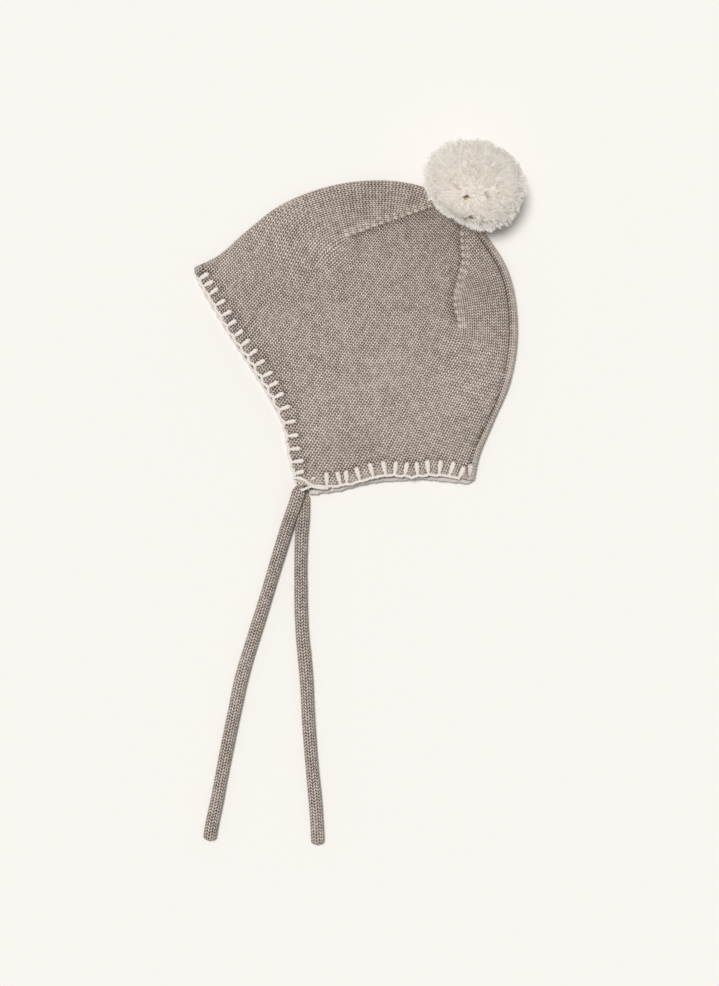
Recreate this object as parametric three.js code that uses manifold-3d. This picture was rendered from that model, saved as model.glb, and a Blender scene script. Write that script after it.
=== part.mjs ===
// A fine-knit baby hat with a pompom, two knitted ties and a yarn edging, lying folded on its side.
//
// Millimetres. +X runs from the forehead fold to the nape, +Y from the face edge to the crown, and
// +Z up. The lower layer of the hat lies flat on z = 0 and the upper layer arches over it. The two
// layers meet in a rounded fold on the forehead side and in a seam on the nape side, and are open
// along the face edge and the neck edge, which meet at the tip of the ear flap.

import * as THREE from 'three';
import { mergeVertices } from 'three/addons/utils/BufferGeometryUtils.js';
import Module from 'manifold-3d';

const wasm = await Module();
wasm.setup();

// ---- Driving dimensions ---------------------------------------------------------------------

const WALL = 2;                 // thickness of the knitted fabric
const FOLD_RADIUS = 3.5;        // outer radius of the fold where the two layers meet
const LOFT = 11;                // how far the upper layer arches above the fold
const LOFT_REACH = 30;          // how far in from the fold the arch takes to rise
const EDGE_REACH = 32;          // how far in from an open edge the edge's own height is felt
const SEAM_INSET = 4.8;         // the back seam lies this far inside the outline
const SEAM_GROOVE = { depth: 1.3, width: 1.3 };
const SEAM_STEP = 1.2;          // the upper layer stands this much above the strip past the seam
const CENTRE = { x: 0, y: -12 };  // where the spokes of the shell's grid meet

const GAP = 0.3;                // clearance between pieces that touch
const EDGE_YARN = 1.8;          // diameter of the yarn along the open edges
const EDGE_YARN_SETBACK = 5.5;  // the edge yarn stops this far from the flap's tip

const TIE_WIDTH = 8;            // the ties are slightly flattened knitted cords
const TIE_HEIGHT = 6.2;

const POMPOM = { x: 5.3, y: 87, z: 26.5, long: 30.5, short: 27.5, high: 27, turn: 35 };
const LOCK = { count: 54, radius: 8, reach: 0.78 };
const POMPOM_CORE = 0.86;       // the head's share of the pompom's radius
// Where the pompom is fuller or flatter: a direction in plan and a spread, both in degrees.
const POMPOM_FORM = [
  { turn: 180, amount: 0.08, spread: 25 },
  { turn: -28, amount: 0.06, spread: 20 },
  { turn: 90, amount: -0.04, spread: 22 },
  { turn: -78, amount: -0.05, spread: 16 },
  { turn: -93, amount: -0.16, spread: 36 },
];

// From the point that all places here are drawn from, to the middle of the hat's own box.
const TO_MIDDLE = { x: -0.8, y: 2.9 };

// ---- Outlines seen from above ---------------------------------------------------------------

// The closed outline, from the forehead corner over the crown to the nape corner.
const FOLD_OUTLINE = [
  { x: -104.6, y: -45.6 },
  { x: -97.5, y: -31.9 },
  { x: -92.3, y: -10.8 },
  { x: -84.2, y: 14.1 },
  { x: -66.2, y: 40.6 },
  { x: -42.9, y: 60.9 },
  { x: -20, y: 72 },
  { x: 4, y: 75.2 },
  { x: 27.8, y: 69.8 },
  { x: 52.4, y: 58.4 },
  { x: 75.6, y: 33.5 },
  { x: 89.4, y: 6.2 },
  { x: 94.8, y: -17.8 },
  { x: 99.9, y: -41.2 },
  { x: 106.2, y: -56 },
];
const CROWN_SHARE = 0.52;       // share of that outline's length at which the crown is passed

// The fabric's own edge on each layer. The gap is the free height between the layers there.
const UPPER_FACE_EDGE = [
  { x: -101.5, y: -47.3, gap: 3 },
  { x: -96.5, y: -52, gap: 4 },
  { x: -85.8, y: -56.6, gap: 5.5 },
  { x: -65.7, y: -66, gap: 7.5 },
  { x: -44.2, y: -73.7, gap: 8 },
  { x: -22.9, y: -83.1, gap: 7.5 },
  { x: -5.5, y: -94, gap: 6.5 },
  { x: 4.5, y: -104, gap: 5.5 },
  { x: 12.1, y: -111.3, gap: 5 },
  { x: 21.3, y: -118.2, gap: 4.5 },
];
const UPPER_NECK_EDGE = [
  { x: 21.3, y: -118.2, gap: 4.5 },
  { x: 36.7, y: -107.4, gap: 4.5 },
  { x: 45.1, y: -99.8, gap: 5 },
  { x: 54.7, y: -88.4, gap: 6 },
  { x: 60.4, y: -82.7, gap: 6.5 },
  { x: 67.4, y: -78, gap: 6.5 },
  { x: 73.9, y: -74.2, gap: 6 },
  { x: 80.3, y: -68.5, gap: 5.5 },
  { x: 91, y: -61.7, gap: 4.5 },
  { x: 102.2, y: -57.6, gap: 3 },
];
const LOWER_FACE_EDGE = [
  { x: -101.5, y: -47.3 },
  { x: -96.5, y: -52 },
  { x: -66.2, y: -66.2 },
  { x: -23.3, y: -84.2 },
  { x: -5.4, y: -94 },
  { x: 6, y: -105 },
  { x: 25.5, y: -121 },
];
const LOWER_NECK_EDGE = [
  { x: 25.5, y: -121 },
  { x: 33.4, y: -113.8 },
  { x: 42.4, y: -105.4 },
  { x: 50.3, y: -96 },
  { x: 59.6, y: -86.8 },
  { x: 68.5, y: -79.8 },
  { x: 79.5, y: -71.2 },
  { x: 91.6, y: -64.3 },
  { x: 102.6, y: -58 },
];

// Soft ridges (height above zero) and valleys (below zero) of the upper layer.
const SOFT_FOLDS = [
  { x1: -2, y1: 30, x2: -8, y2: -20, height: 1.2, width: 12 },
  { x1: 22, y1: 34, x2: 11, y2: -22, height: -1.6, width: 9 },
  { x1: 42, y1: 4, x2: 29, y2: -32, height: 0.9, width: 12 },
  { x1: -14, y1: -42, x2: -6, y2: -46, height: -0.8, width: 11 },
  { x1: 63, y1: -4, x2: 66, y2: -14, height: -0.7, width: 9 },
];

// ---- Routes of the ties ---------------------------------------------------------------------

// Each tie leaves its flap's tip, comes down to the surface and lies on it to its full length.
const TIE_UPPER_ROUTE = [
  [22.7, -119.6, 8.4], [25.4, -127.2, 9], [27.5, -134.8, 7.2], [29.5, -142.2, 4.8],
  [31.9, -149.6, 3.6], [36.5, -163.6, 3.2], [41.2, -177.8, 3.2], [45.9, -192.2, 3.2],
  [50.5, -206.6, 3.2], [55.1, -221, 3.2], [60.1, -235, 3.2], [65.9, -248.5, 3.2],
  [71.7, -262, 3.2], [77.6, -275.5, 3.2], [83.6, -288.9, 3.2], [89.6, -302.2, 3.2],
  [95.4, -315.7, 3.2], [99.6, -324.4, 3.2],
];
const TIE_LOWER_ROUTE = [
  [27.6, -122.8, 3.2], [31.6, -128.6, 3.2], [35.6, -134.9, 3.2], [39.6, -141.8, 3.2],
  [44.6, -149.5, 3.2], [50.9, -158.9, 3.2], [57.4, -168, 3.2], [65, -178.6, 3.2],
  [73.9, -190.1, 3.2], [83.3, -201.2, 3.2], [92.5, -212.2, 3.2], [101.4, -223.7, 3.2],
  [110.3, -235, 3.2], [119.4, -246.1, 3.2], [128.7, -257.2, 3.2], [138.1, -268.2, 3.2],
  [147.2, -279.4, 3.2], [154.6, -289, 3.2],
];

// ---- Helpers --------------------------------------------------------------------------------

const { lerp, smoothstep, degToRad } = THREE.MathUtils;

function curveThrough(rows) {
  const points = rows.map((row) => new THREE.Vector3(row.x, row.y, row.gap ?? 0));
  return new THREE.CatmullRomCurve3(points, false, 'centripetal');
}

// The nearest of a curve's sample points: how far it is in plan, where along, and its z value.
function nearest(samples, x, y) {
  let best = { distance: Infinity };
  samples.forEach((point, i) => {
    const distance = Math.hypot(point.x - x, point.y - y);
    if (distance < best.distance) {
      best = { distance, along: i / (samples.length - 1), value: point.z };
    }
  });
  return best;
}

// Collects vertices and faces, and gives them back as a closed indexed geometry.
class MeshBuilder {
  positions = [];
  faces = [];

  point(x, y, z) {
    this.positions.push(x, y, z);
    return this.positions.length / 3 - 1;
  }

  quad(a, b, c, d) {
    this.faces.push(a, b, c, a, c, d);
  }

  // A strip of quads between two rows of points, around the whole ring or along part of it.
  strip(rowA, rowB, from, to) {
    for (let i = from; i < to; i += 1) {
      const next = (i + 1) % rowA.length;
      this.quad(rowA[i], rowA[next], rowB[next], rowB[i]);
    }
  }

  fan(row, centre) {
    row.forEach((point, i) => this.faces.push(point, row[(i + 1) % row.length], centre));
  }

  geometry() {
    const geometry = new THREE.BufferGeometry();
    geometry.setAttribute('position', new THREE.Float32BufferAttribute(this.positions, 3));
    geometry.setIndex(this.faces);
    return geometry;
  }
}

function toSolid(geometry) {
  const bare = geometry.clone();
  bare.deleteAttribute('normal');
  bare.deleteAttribute('uv');
  const merged = mergeVertices(bare, 1e-4);
  return new wasm.Manifold(new wasm.Mesh({
    numProp: 3,
    vertProperties: new Float32Array(merged.attributes.position.array),
    triVerts: new Uint32Array(merged.index.array),
  }));
}

function toGeometry(solid) {
  const mesh = solid.getMesh();
  const geometry = new THREE.BufferGeometry();
  geometry.setAttribute('position', new THREE.Float32BufferAttribute(mesh.vertProperties, 3));
  geometry.setIndex(new THREE.Uint32BufferAttribute(mesh.triVerts, 1));
  return geometry;
}

// ---- The upper layer's height ---------------------------------------------------------------

const foldCurve = curveThrough(FOLD_OUTLINE);
const upperFace = curveThrough(UPPER_FACE_EDGE);
const upperNeck = curveThrough(UPPER_NECK_EDGE);
const lowerFace = curveThrough(LOWER_FACE_EDGE);
const lowerNeck = curveThrough(LOWER_NECK_EDGE);

const foldSamples = foldCurve.getSpacedPoints(400);
const upperFaceSamples = upperFace.getSpacedPoints(160);
const upperNeckSamples = upperNeck.getSpacedPoints(160);

function softFolds(x, y) {
  return SOFT_FOLDS.reduce((sum, fold) => {
    const line = new THREE.Line3(
      new THREE.Vector3(fold.x1, fold.y1, 0),
      new THREE.Vector3(fold.x2, fold.y2, 0),
    );
    const here = new THREE.Vector3(x, y, 0);
    const away = line.closestPointToPoint(here, true, new THREE.Vector3()).distanceTo(here);
    return sum + fold.height * Math.exp(-((away / fold.width) ** 2));
  }, 0);
}

// The seam's groove, and the step up to the fabric on its inner side.
function seamRelief(distance) {
  const groove = Math.exp(-(((distance - SEAM_INSET) / SEAM_GROOVE.width) ** 2));
  return SEAM_STEP * smoothstep(distance, SEAM_INSET, SEAM_INSET + 3) - SEAM_GROOVE.depth * groove;
}

// Height of the upper layer's outer face above the surface that the hat lies on.
function upperHeight(x, y) {
  const fold = nearest(foldSamples, x, y);
  const face = nearest(upperFaceSamples, x, y);
  const neck = nearest(upperNeckSamples, x, y);
  const inside = Math.max(fold.distance - FOLD_RADIUS, 0);
  const loft = LOFT * (1 - Math.exp(-inside / LOFT_REACH));
  const seam = smoothstep(fold.along, CROWN_SHARE, CROWN_SHARE + 0.06);
  const body = 2 * FOLD_RADIUS + loft + softFolds(x, y) + seam * seamRelief(fold.distance);
  const faceShare = neck.distance / (face.distance + neck.distance);
  const edgeHeight = 2 * WALL + lerp(neck.value, face.value, faceShare);
  const away = smoothstep(face.distance, 0, EDGE_REACH) * smoothstep(neck.distance, 0, EDGE_REACH);
  return lerp(edgeHeight, body, away);
}

// ---- The knitted shell ----------------------------------------------------------------------

const FOLD_STEPS = 44;          // spokes along the closed outline
const FACE_STEPS = 16;          // spokes along the face edge
const NECK_STEPS = 13;          // spokes along the neck edge
const UPPER_RINGS = [0, 0.022, 0.05, 0.1, 0.17, 0.27, 0.39, 0.52, 0.66, 0.82];
const INNER_RINGS = [0, 0.06, 0.15, 0.27, 0.42, 0.6, 0.8];
const LOWER_RINGS = [0, 0.4];
const ARC_STEPS = 5;            // facets around the fold

// The spokes' outer ends, in one ring. Those on the fold carry the outline point and the inward
// direction, and those on an open edge carry each layer's own edge point.
function ringOfSpokes() {
  const fold = Array.from({ length: FOLD_STEPS + 1 }, (_, i) => {
    const point = foldCurve.getPointAt(i / FOLD_STEPS);
    const along = foldCurve.getTangentAt(i / FOLD_STEPS);
    const inward = new THREE.Vector3(along.y, -along.x, 0).normalize();
    const end = point.clone().addScaledVector(inward, FOLD_RADIUS);
    return { upper: end, lower: end, inward };
  });
  const between = (upper, lower, steps) => Array.from({ length: steps }, (_, i) => ({
    upper: upper.getPointAt(1 - i / steps),
    lower: lower.getPointAt(1 - i / steps),
  }));
  const neck = between(upperNeck, lowerNeck, NECK_STEPS).slice(1);
  const face = between(upperFace, lowerFace, FACE_STEPS);
  return [...fold, ...neck, ...face];
}

function knitShell() {
  const spokes = ringOfSpokes();
  const mesh = new MeshBuilder();
  const last = FOLD_STEPS;

  const layer = (side, rings, height) => rings.map((share) => spokes.map((spoke) => {
    const x = lerp(spoke[side].x, CENTRE.x, share);
    const y = lerp(spoke[side].y, CENTRE.y, share);
    return mesh.point(x, y, height(x, y));
  }));
  const middle = (height) => mesh.point(CENTRE.x, CENTRE.y, height(CENTRE.x, CENTRE.y));
  const faces = {
    upperOut: { side: 'upper', rings: UPPER_RINGS, height: upperHeight, up: true },
    upperIn: { side: 'upper', rings: INNER_RINGS, height: (x, y) => upperHeight(x, y) - WALL },
    lowerIn: { side: 'lower', rings: LOWER_RINGS, height: () => WALL, up: true },
    lowerOut: { side: 'lower', rings: LOWER_RINGS, height: () => 0 },
  };
  const rims = {};
  Object.entries(faces).forEach(([name, face]) => {
    const rows = layer(face.side, face.rings, face.height);
    const centre = middle(face.height);
    rims[name] = rows[0];
    // The ring runs clockwise seen from above, so a face that looks up takes it backwards.
    if (face.up) {
      rows.slice(1).forEach((row, i) => mesh.strip(row, rows[i], 0, row.length));
      mesh.fan([...rows.at(-1)].reverse(), centre);
    } else {
      rows.slice(1).forEach((row, i) => mesh.strip(rows[i], row, 0, row.length));
      mesh.fan(rows.at(-1), centre);
    }
  });

  // The fold: half circles from the upper layer's rim to the lower layer's, outside and inside.
  const arcRows = (radius, top, bottom) => Array.from({ length: ARC_STEPS + 1 }, (_, k) => {
    if (k === 0) return top;
    if (k === ARC_STEPS) return bottom;
    const angle = Math.PI / 2 - (Math.PI * k) / ARC_STEPS;
    return spokes.map((spoke) => {
      if (!spoke.inward) return -1;
      const out = -radius * Math.cos(angle);
      const at = spoke.upper.clone().addScaledVector(spoke.inward, out);
      return mesh.point(at.x, at.y, FOLD_RADIUS + radius * Math.sin(angle));
    });
  });
  const outer = arcRows(FOLD_RADIUS, rims.upperOut, rims.lowerOut);
  const inner = arcRows(FOLD_RADIUS - WALL, rims.upperIn, rims.lowerIn);
  for (let k = 0; k < ARC_STEPS; k += 1) {
    mesh.strip(outer[k], outer[k + 1], 0, last);
    mesh.strip(inner[k + 1], inner[k], 0, last);
    mesh.quad(outer[k][0], outer[k + 1][0], inner[k + 1][0], inner[k][0]);
    mesh.quad(inner[k][last], inner[k + 1][last], outer[k + 1][last], outer[k][last]);
  }

  // The fabric's cut edges along the opening.
  mesh.strip(rims.upperOut, rims.upperIn, last, spokes.length);
  mesh.strip(rims.lowerIn, rims.lowerOut, last, spokes.length);
  return mesh.geometry();
}

// ---- The pompom -----------------------------------------------------------------------------

// The space over and around the shell's crown that the pompom's yarn parts around.
function crownClearance() {
  const mesh = new MeshBuilder();
  const depth = -5;
  const rings = [0, 0.1, 0.25, 0.45];
  const at = (i) => i / FOLD_STEPS;
  const steps = Array.from({ length: FOLD_STEPS + 1 }, (_, i) => i);
  const rim = steps.map((i) => {
    const along = foldCurve.getTangentAt(at(i));
    const inward = new THREE.Vector3(along.y, -along.x, 0).normalize();
    return { point: foldCurve.getPointAt(at(i)).addScaledVector(inward, -GAP - 0.2), inward };
  });
  const row = (share, z) => rim.map(({ point }) => {
    const x = lerp(point.x, CENTRE.x, share);
    const y = lerp(point.y, CENTRE.y, share);
    return mesh.point(x, y, z ?? Math.max(upperHeight(x, y), 2 * FOLD_RADIUS) + GAP + 0.2);
  });
  const rows = [row(0, depth), ...rings.map((share) => row(share)), row(rings.at(-1), depth)];
  rows.forEach((points, i) => mesh.strip(rows[(i + 1) % rows.length], points, 0, FOLD_STEPS));
  const ends = (index) => rows.map((points) => points[index]);
  const [head, ...others] = ends(0);
  others.slice(1).forEach((point, i) => mesh.faces.push(head, point, others[i]));
  const [tail, ...rest] = ends(FOLD_STEPS);
  rest.slice(1).forEach((point, i) => mesh.faces.push(tail, rest[i], point));
  return toSolid(mesh.geometry());
}

// Directions spread evenly over a ball, along a spiral.
function spreadDirections(count) {
  const goldenTurn = Math.PI * (3 - Math.sqrt(5));
  return Array.from({ length: count }, (_, i) => {
    const z = 1 - (2 * i + 1) / count;
    const ring = Math.sqrt(1 - z * z);
    return new THREE.Vector3(ring * Math.cos(i * goldenTurn), ring * Math.sin(i * goldenTurn), z);
  });
}

// The pompom's reach in a direction, against that of a plain oval.
function pompomReach(direction) {
  return POMPOM_FORM.reduce((reach, { turn, amount, spread }) => {
    const angle = degToRad(turn - POMPOM.turn);
    const towards = new THREE.Vector3(Math.cos(angle), Math.sin(angle), 0);
    return reach + amount * Math.exp((direction.dot(towards) - 1) / degToRad(spread) ** 2);
  }, 1);
}

function pompomCore(size) {
  const core = new THREE.IcosahedronGeometry(1, 2);
  const { position } = core.attributes;
  const point = new THREE.Vector3();
  for (let i = 0; i < position.count; i += 1) {
    point.fromBufferAttribute(position, i);
    const reach = POMPOM_CORE * pompomReach(point);
    point.multiply(size).multiplyScalar(reach);
    position.setXYZ(i, point.x, point.y, point.z);
  }
  return core;
}

function pompom() {
  const size = new THREE.Vector3(POMPOM.long, POMPOM.short, POMPOM.high);
  let ball = toSolid(pompomCore(size));
  spreadDirections(LOCK.count).forEach((direction, i) => {
    const lock = new THREE.IcosahedronGeometry(LOCK.radius, 1);
    lock.rotateZ(i);
    const reach = (LOCK.reach + 0.035 * Math.sin(2.3 * i)) * pompomReach(direction);
    const place = direction.clone().multiply(size).multiplyScalar(reach);
    ball = ball.add(toSolid(lock.translate(place.x, place.y, place.z)));
  });
  const geometry = toGeometry(ball);
  geometry.rotateZ(degToRad(POMPOM.turn)).translate(POMPOM.x, POMPOM.y, POMPOM.z);
  const table = new THREE.BoxGeometry(200, 200, 50).translate(POMPOM.x, POMPOM.y, -25);
  return toGeometry(toSolid(geometry).subtract(toSolid(table)).subtract(crownClearance()));
}

// ---- Cords ----------------------------------------------------------------------------------

// A section whose first axis turns to the vertical when it is swept along a level path.
function ovalSection(width, height, sides) {
  const points = Array.from({ length: sides }, (_, i) => {
    const angle = (2 * Math.PI * (i + 0.5)) / sides;
    return new THREE.Vector2(0.5 * height * Math.cos(angle), 0.5 * width * Math.sin(angle));
  });
  return new THREE.Shape(points);
}

function sweep(section, curve, steps) {
  return new THREE.ExtrudeGeometry(section, { steps, bevelEnabled: false, extrudePath: curve });
}

function tie(route) {
  const points = route.map(([x, y, z]) => new THREE.Vector3(x, y, z));
  const curve = new THREE.CatmullRomCurve3(points, false, 'centripetal');
  return sweep(ovalSection(TIE_WIDTH, TIE_HEIGHT, 12), curve, 30);
}

// The yarn beside a stretch of open edge, from the outline's corner to near the flap's tip.
function edgeYarn(edge, fromStart, upper) {
  const length = edge.getLength();
  const setback = EDGE_YARN_SETBACK / length;
  const count = 18;
  const points = Array.from({ length: count }, (_, i) => {
    const share = (i / (count - 1)) * (1 - setback);
    const along = fromStart ? share : 1 - share;
    const point = edge.getPointAt(along);
    const tangent = edge.getTangentAt(along);
    const outward = new THREE.Vector3(tangent.y, -tangent.x, 0).normalize();
    const height = upper ? WALL + point.z + 0.5 * WALL : 0.5 * WALL;
    point.addScaledVector(outward, 0.5 * EDGE_YARN + GAP);
    return point.setZ(height);
  });
  const curve = new THREE.CatmullRomCurve3(points, false, 'centripetal');
  return sweep(ovalSection(EDGE_YARN, EDGE_YARN, 8), curve, 24);
}

// ---- Materials and assembly -----------------------------------------------------------------

const knitWool = new THREE.MeshStandardMaterial({ color: 0xa59889, roughness: 0.95, metalness: 0 });
const creamYarn = new THREE.MeshStandardMaterial({ color: 0xe2dacf, roughness: 0.95, metalness: 0 });

const group = new THREE.Group();

function addPiece(name, geometry, material) {
  const mesh = new THREE.Mesh(geometry.translate(TO_MIDDLE.x, TO_MIDDLE.y, 0), material);
  mesh.name = name;
  group.add(mesh);
}

addPiece('knit_shell', knitShell(), knitWool);
addPiece('pompom', pompom(), creamYarn);
addPiece('tie_upper', tie(TIE_UPPER_ROUTE), knitWool);
addPiece('tie_lower', tie(TIE_LOWER_ROUTE), knitWool);
addPiece('edge_yarn_face_upper', edgeYarn(upperFace, true, true), creamYarn);
addPiece('edge_yarn_neck_upper', edgeYarn(upperNeck, false, true), creamYarn);
addPiece('edge_yarn_face_lower', edgeYarn(lowerFace, true, false), creamYarn);
addPiece('edge_yarn_neck_lower', edgeYarn(lowerNeck, false, false), creamYarn);

export default group;
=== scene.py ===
import math
from collections import namedtuple

import bmesh
import bpy
import numpy as np
from mathutils import Matrix
from mathutils.geometry import delaunay_2d_cdt


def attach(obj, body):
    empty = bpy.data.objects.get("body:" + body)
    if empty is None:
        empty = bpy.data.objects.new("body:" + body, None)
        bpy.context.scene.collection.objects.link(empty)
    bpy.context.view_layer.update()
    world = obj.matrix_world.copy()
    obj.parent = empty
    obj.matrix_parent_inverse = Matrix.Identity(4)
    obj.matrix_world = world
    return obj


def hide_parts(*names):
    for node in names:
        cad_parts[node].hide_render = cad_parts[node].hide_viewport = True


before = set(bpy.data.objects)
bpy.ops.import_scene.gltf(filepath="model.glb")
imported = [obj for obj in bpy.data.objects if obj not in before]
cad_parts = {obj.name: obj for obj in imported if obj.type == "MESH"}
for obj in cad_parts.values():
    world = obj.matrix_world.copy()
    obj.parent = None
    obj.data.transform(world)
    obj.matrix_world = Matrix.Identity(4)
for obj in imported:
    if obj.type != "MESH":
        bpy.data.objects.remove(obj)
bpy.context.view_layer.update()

# A fine-knit baby hat with a pompom, two knitted ties and a blanket-stitched edge, lying on its
# side. Lengths are in millimetres, from the point that the hat's outlines are drawn from.
MM = 0.001
TO_MIDDLE = (-0.8, 2.9, 0)      # from that point to the middle of the hat's own box

# ---- The knitted shell, as the part's solids have it ----

WALL = 2.0
FOLD_RADIUS = 3.5
LOFT = 11.0
LOFT_REACH = 30.0
EDGE_REACH = 32.0
SEAM_INSET = 4.8
SEAM_GROOVE_DEPTH = 1.3
SEAM_GROOVE_WIDTH = 1.3
SEAM_STEP = 1.2
CROWN_SHARE = 0.52

FOLD_OUTLINE = [
    (-104.6, -45.6), (-97.5, -31.9), (-92.3, -10.8), (-84.2, 14.1), (-66.2, 40.6),
    (-42.9, 60.9), (-20, 72), (4, 75.2), (27.8, 69.8), (52.4, 58.4), (75.6, 33.5),
    (89.4, 6.2), (94.8, -17.8), (99.9, -41.2), (106.2, -56),
]
# The third number is the free height between the layers at that edge.
UPPER_FACE_EDGE = [
    (-101.5, -47.3, 3), (-96.5, -52, 4), (-85.8, -56.6, 5.5), (-65.7, -66, 7.5),
    (-44.2, -73.7, 8), (-22.9, -83.1, 7.5), (-5.5, -94, 6.5), (4.5, -104, 5.5),
    (12.1, -111.3, 5), (21.3, -118.2, 4.5),
]
UPPER_NECK_EDGE = [
    (21.3, -118.2, 4.5), (36.7, -107.4, 4.5), (45.1, -99.8, 5), (54.7, -88.4, 6),
    (60.4, -82.7, 6.5), (67.4, -78, 6.5), (73.9, -74.2, 6), (80.3, -68.5, 5.5),
    (91, -61.7, 4.5), (102.2, -57.6, 3),
]
LOWER_FACE_EDGE = [
    (-101.5, -47.3), (-96.5, -52), (-66.2, -66.2), (-23.3, -84.2), (-5.4, -94), (6, -105),
    (25.5, -121),
]
LOWER_NECK_EDGE = [
    (25.5, -121), (33.4, -113.8), (42.4, -105.4), (50.3, -96), (59.6, -86.8), (68.5, -79.8),
    (79.5, -71.2), (91.6, -64.3), (102.6, -58),
]
# Soft ridges and valleys: both ends of each in plan, its height and its width.
SOFT_FOLDS = [
    (-2, 30, -8, -20, 1.2, 12), (22, 34, 11, -22, -1.6, 9), (42, 4, 29, -32, 0.9, 12),
    (-14, -42, -6, -46, -0.8, 11), (63, -4, 66, -14, -0.7, 9),
]

# ---- Ties ----

TIE_WIDTH = 8.0
TIE_HEIGHT = 6.2
TIE_UPPER_ROOT = (22.0, -118.3, 7.7)
TIE_LOWER_ROOT = (25.5, -119.7, 3.5)
TIE_REST = 3.2                  # height of a tie's middle where it lies on the floor
TIE_UPPER_ROUTE = [
    (22.7, -119.6, 8.4), (25.4, -127.2, 9), (27.5, -134.8, 7.2), (29.5, -142.2, 4.8),
    (31.9, -149.6, 3.6),
] + [(*place, TIE_REST) for place in (
    (36.5, -163.6), (41.2, -177.8), (45.9, -192.2), (50.5, -206.6), (55.1, -221), (60.1, -235),
    (65.9, -248.5), (71.7, -262), (77.6, -275.5), (83.6, -288.9), (89.6, -302.2),
    (95.4, -315.7), (99.6, -324.4),
)]
TIE_LOWER_ROUTE = [(*place, TIE_REST) for place in (
    (27.6, -122.8), (31.6, -128.6), (35.6, -134.9), (39.6, -141.8), (44.6, -149.5),
    (50.9, -158.9), (57.4, -168), (65, -178.6), (73.9, -190.1), (83.3, -201.2), (92.5, -212.2),
    (101.4, -223.7), (110.3, -235), (119.4, -246.1), (128.7, -257.2), (138.1, -268.2),
    (147.2, -279.4), (154.6, -289),
)]

# ---- The knit ----

WALE = 2.63                     # width of a knitted stitch
COURSE = 1.8                    # height of a row of stitches
FRONT_COURSE = 2.15             # the same at the fold, where the forehead's panel is stretched
BACK_COURSE = 2.0
FAN_CENTRE = (-2.0, 411.0)      # the middle panel's wales all run from this point
FAN_TURN = 0.0064               # angle between two of them
COURSE_BOW = 0.0024             # the rows curve up to both sides of x = COURSE_MIDDLE
COURSE_MIDDLE = 8.0
STITCH_LEAN = 0.7               # how far a stitch's leg climbs, in rows, from its foot to its top
STITCH_RELIEF = 0.45            # height of a stitch's leg over the gap beside it
# The lines of decreases, where the side panels' wales meet those of the middle one.
FRONT_LINE = [(-40.6, 19), (-9.3, 62.8), (7.2, 87.5)]
BACK_LINE = [(46.1, 13), (32.9, 25.7), (27.9, 36.9), (23.7, 47.1), (10.3, 66.3), (7, 89.5)]


def in_part(points):
    """Drawn points in the part's own frame, in metres."""
    return (np.asarray(points, float) + TO_MIDDLE) * MM


def lerp(a, b, t):
    return a + (b - a) * t


def smoothstep(x, low, high):
    t = np.clip((x - low) / (high - low), 0, 1)
    return t * t * (3 - 2 * t)


def bell(x):
    """1 where x is 0, and falling off smoothly to both sides."""
    return np.exp(-(x ** 2))


def unit(vectors):
    return vectors / np.maximum(np.linalg.norm(vectors, axis=-1, keepdims=True), 1e-9)


def ridges(places, rows):
    """Height of soft ridges in plan. Each row: both ends (x, y, x, y), the height, the width."""
    total = np.zeros(len(places))
    for x1, y1, x2, y2, height, width in rows:
        edge = np.array([x2 - x1, y2 - y1])
        offset = places - (x1, y1)
        t = np.clip(offset @ edge / (edge @ edge), 0, 1)
        total += height * bell(np.linalg.norm(offset - t[:, None] * edge, axis=1) / width)
    return total


# ---- Curves ----

def run_along(points):
    """The length from the first point to each of the others, along the line."""
    steps = np.linalg.norm(np.diff(points, axis=0), axis=1)
    return np.concatenate([[0], np.cumsum(steps)])


def smooth_line(rows, per_span=40):
    """Points on the centripetal Catmull-Rom curve through the rows."""
    knots = np.array(rows, float)
    knots = np.vstack([2 * knots[0] - knots[1], knots, 2 * knots[-1] - knots[-2]])
    spans = []
    for i in range(1, len(knots) - 2):
        p0, p1, p2, p3 = knots[i - 1:i + 3]
        d0, d1, d2 = (np.linalg.norm(b - a) ** 0.5 for a, b in ((p0, p1), (p1, p2), (p2, p3)))
        m1 = ((p1 - p0) / d0 - (p2 - p0) / (d0 + d1) + (p2 - p1) / d1) * d1
        m2 = ((p2 - p1) / d1 - (p3 - p1) / (d1 + d2) + (p3 - p2) / d2) * d1
        t = np.linspace(0, 1, per_span, endpoint=False)[:, None]
        bend = -3 * p1 + 3 * p2 - 2 * m1 - m2
        twist = 2 * p1 - 2 * p2 + m1 + m2
        spans.append(p1 + m1 * t + bend * t ** 2 + twist * t ** 3)
    return np.vstack(spans + [knots[-2:-1]])


DIRECTION_STEP = 0.6            # a line's direction is taken over this length to both sides
NEAR_BATCH = 8000               # places that are compared with a line at a time


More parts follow.
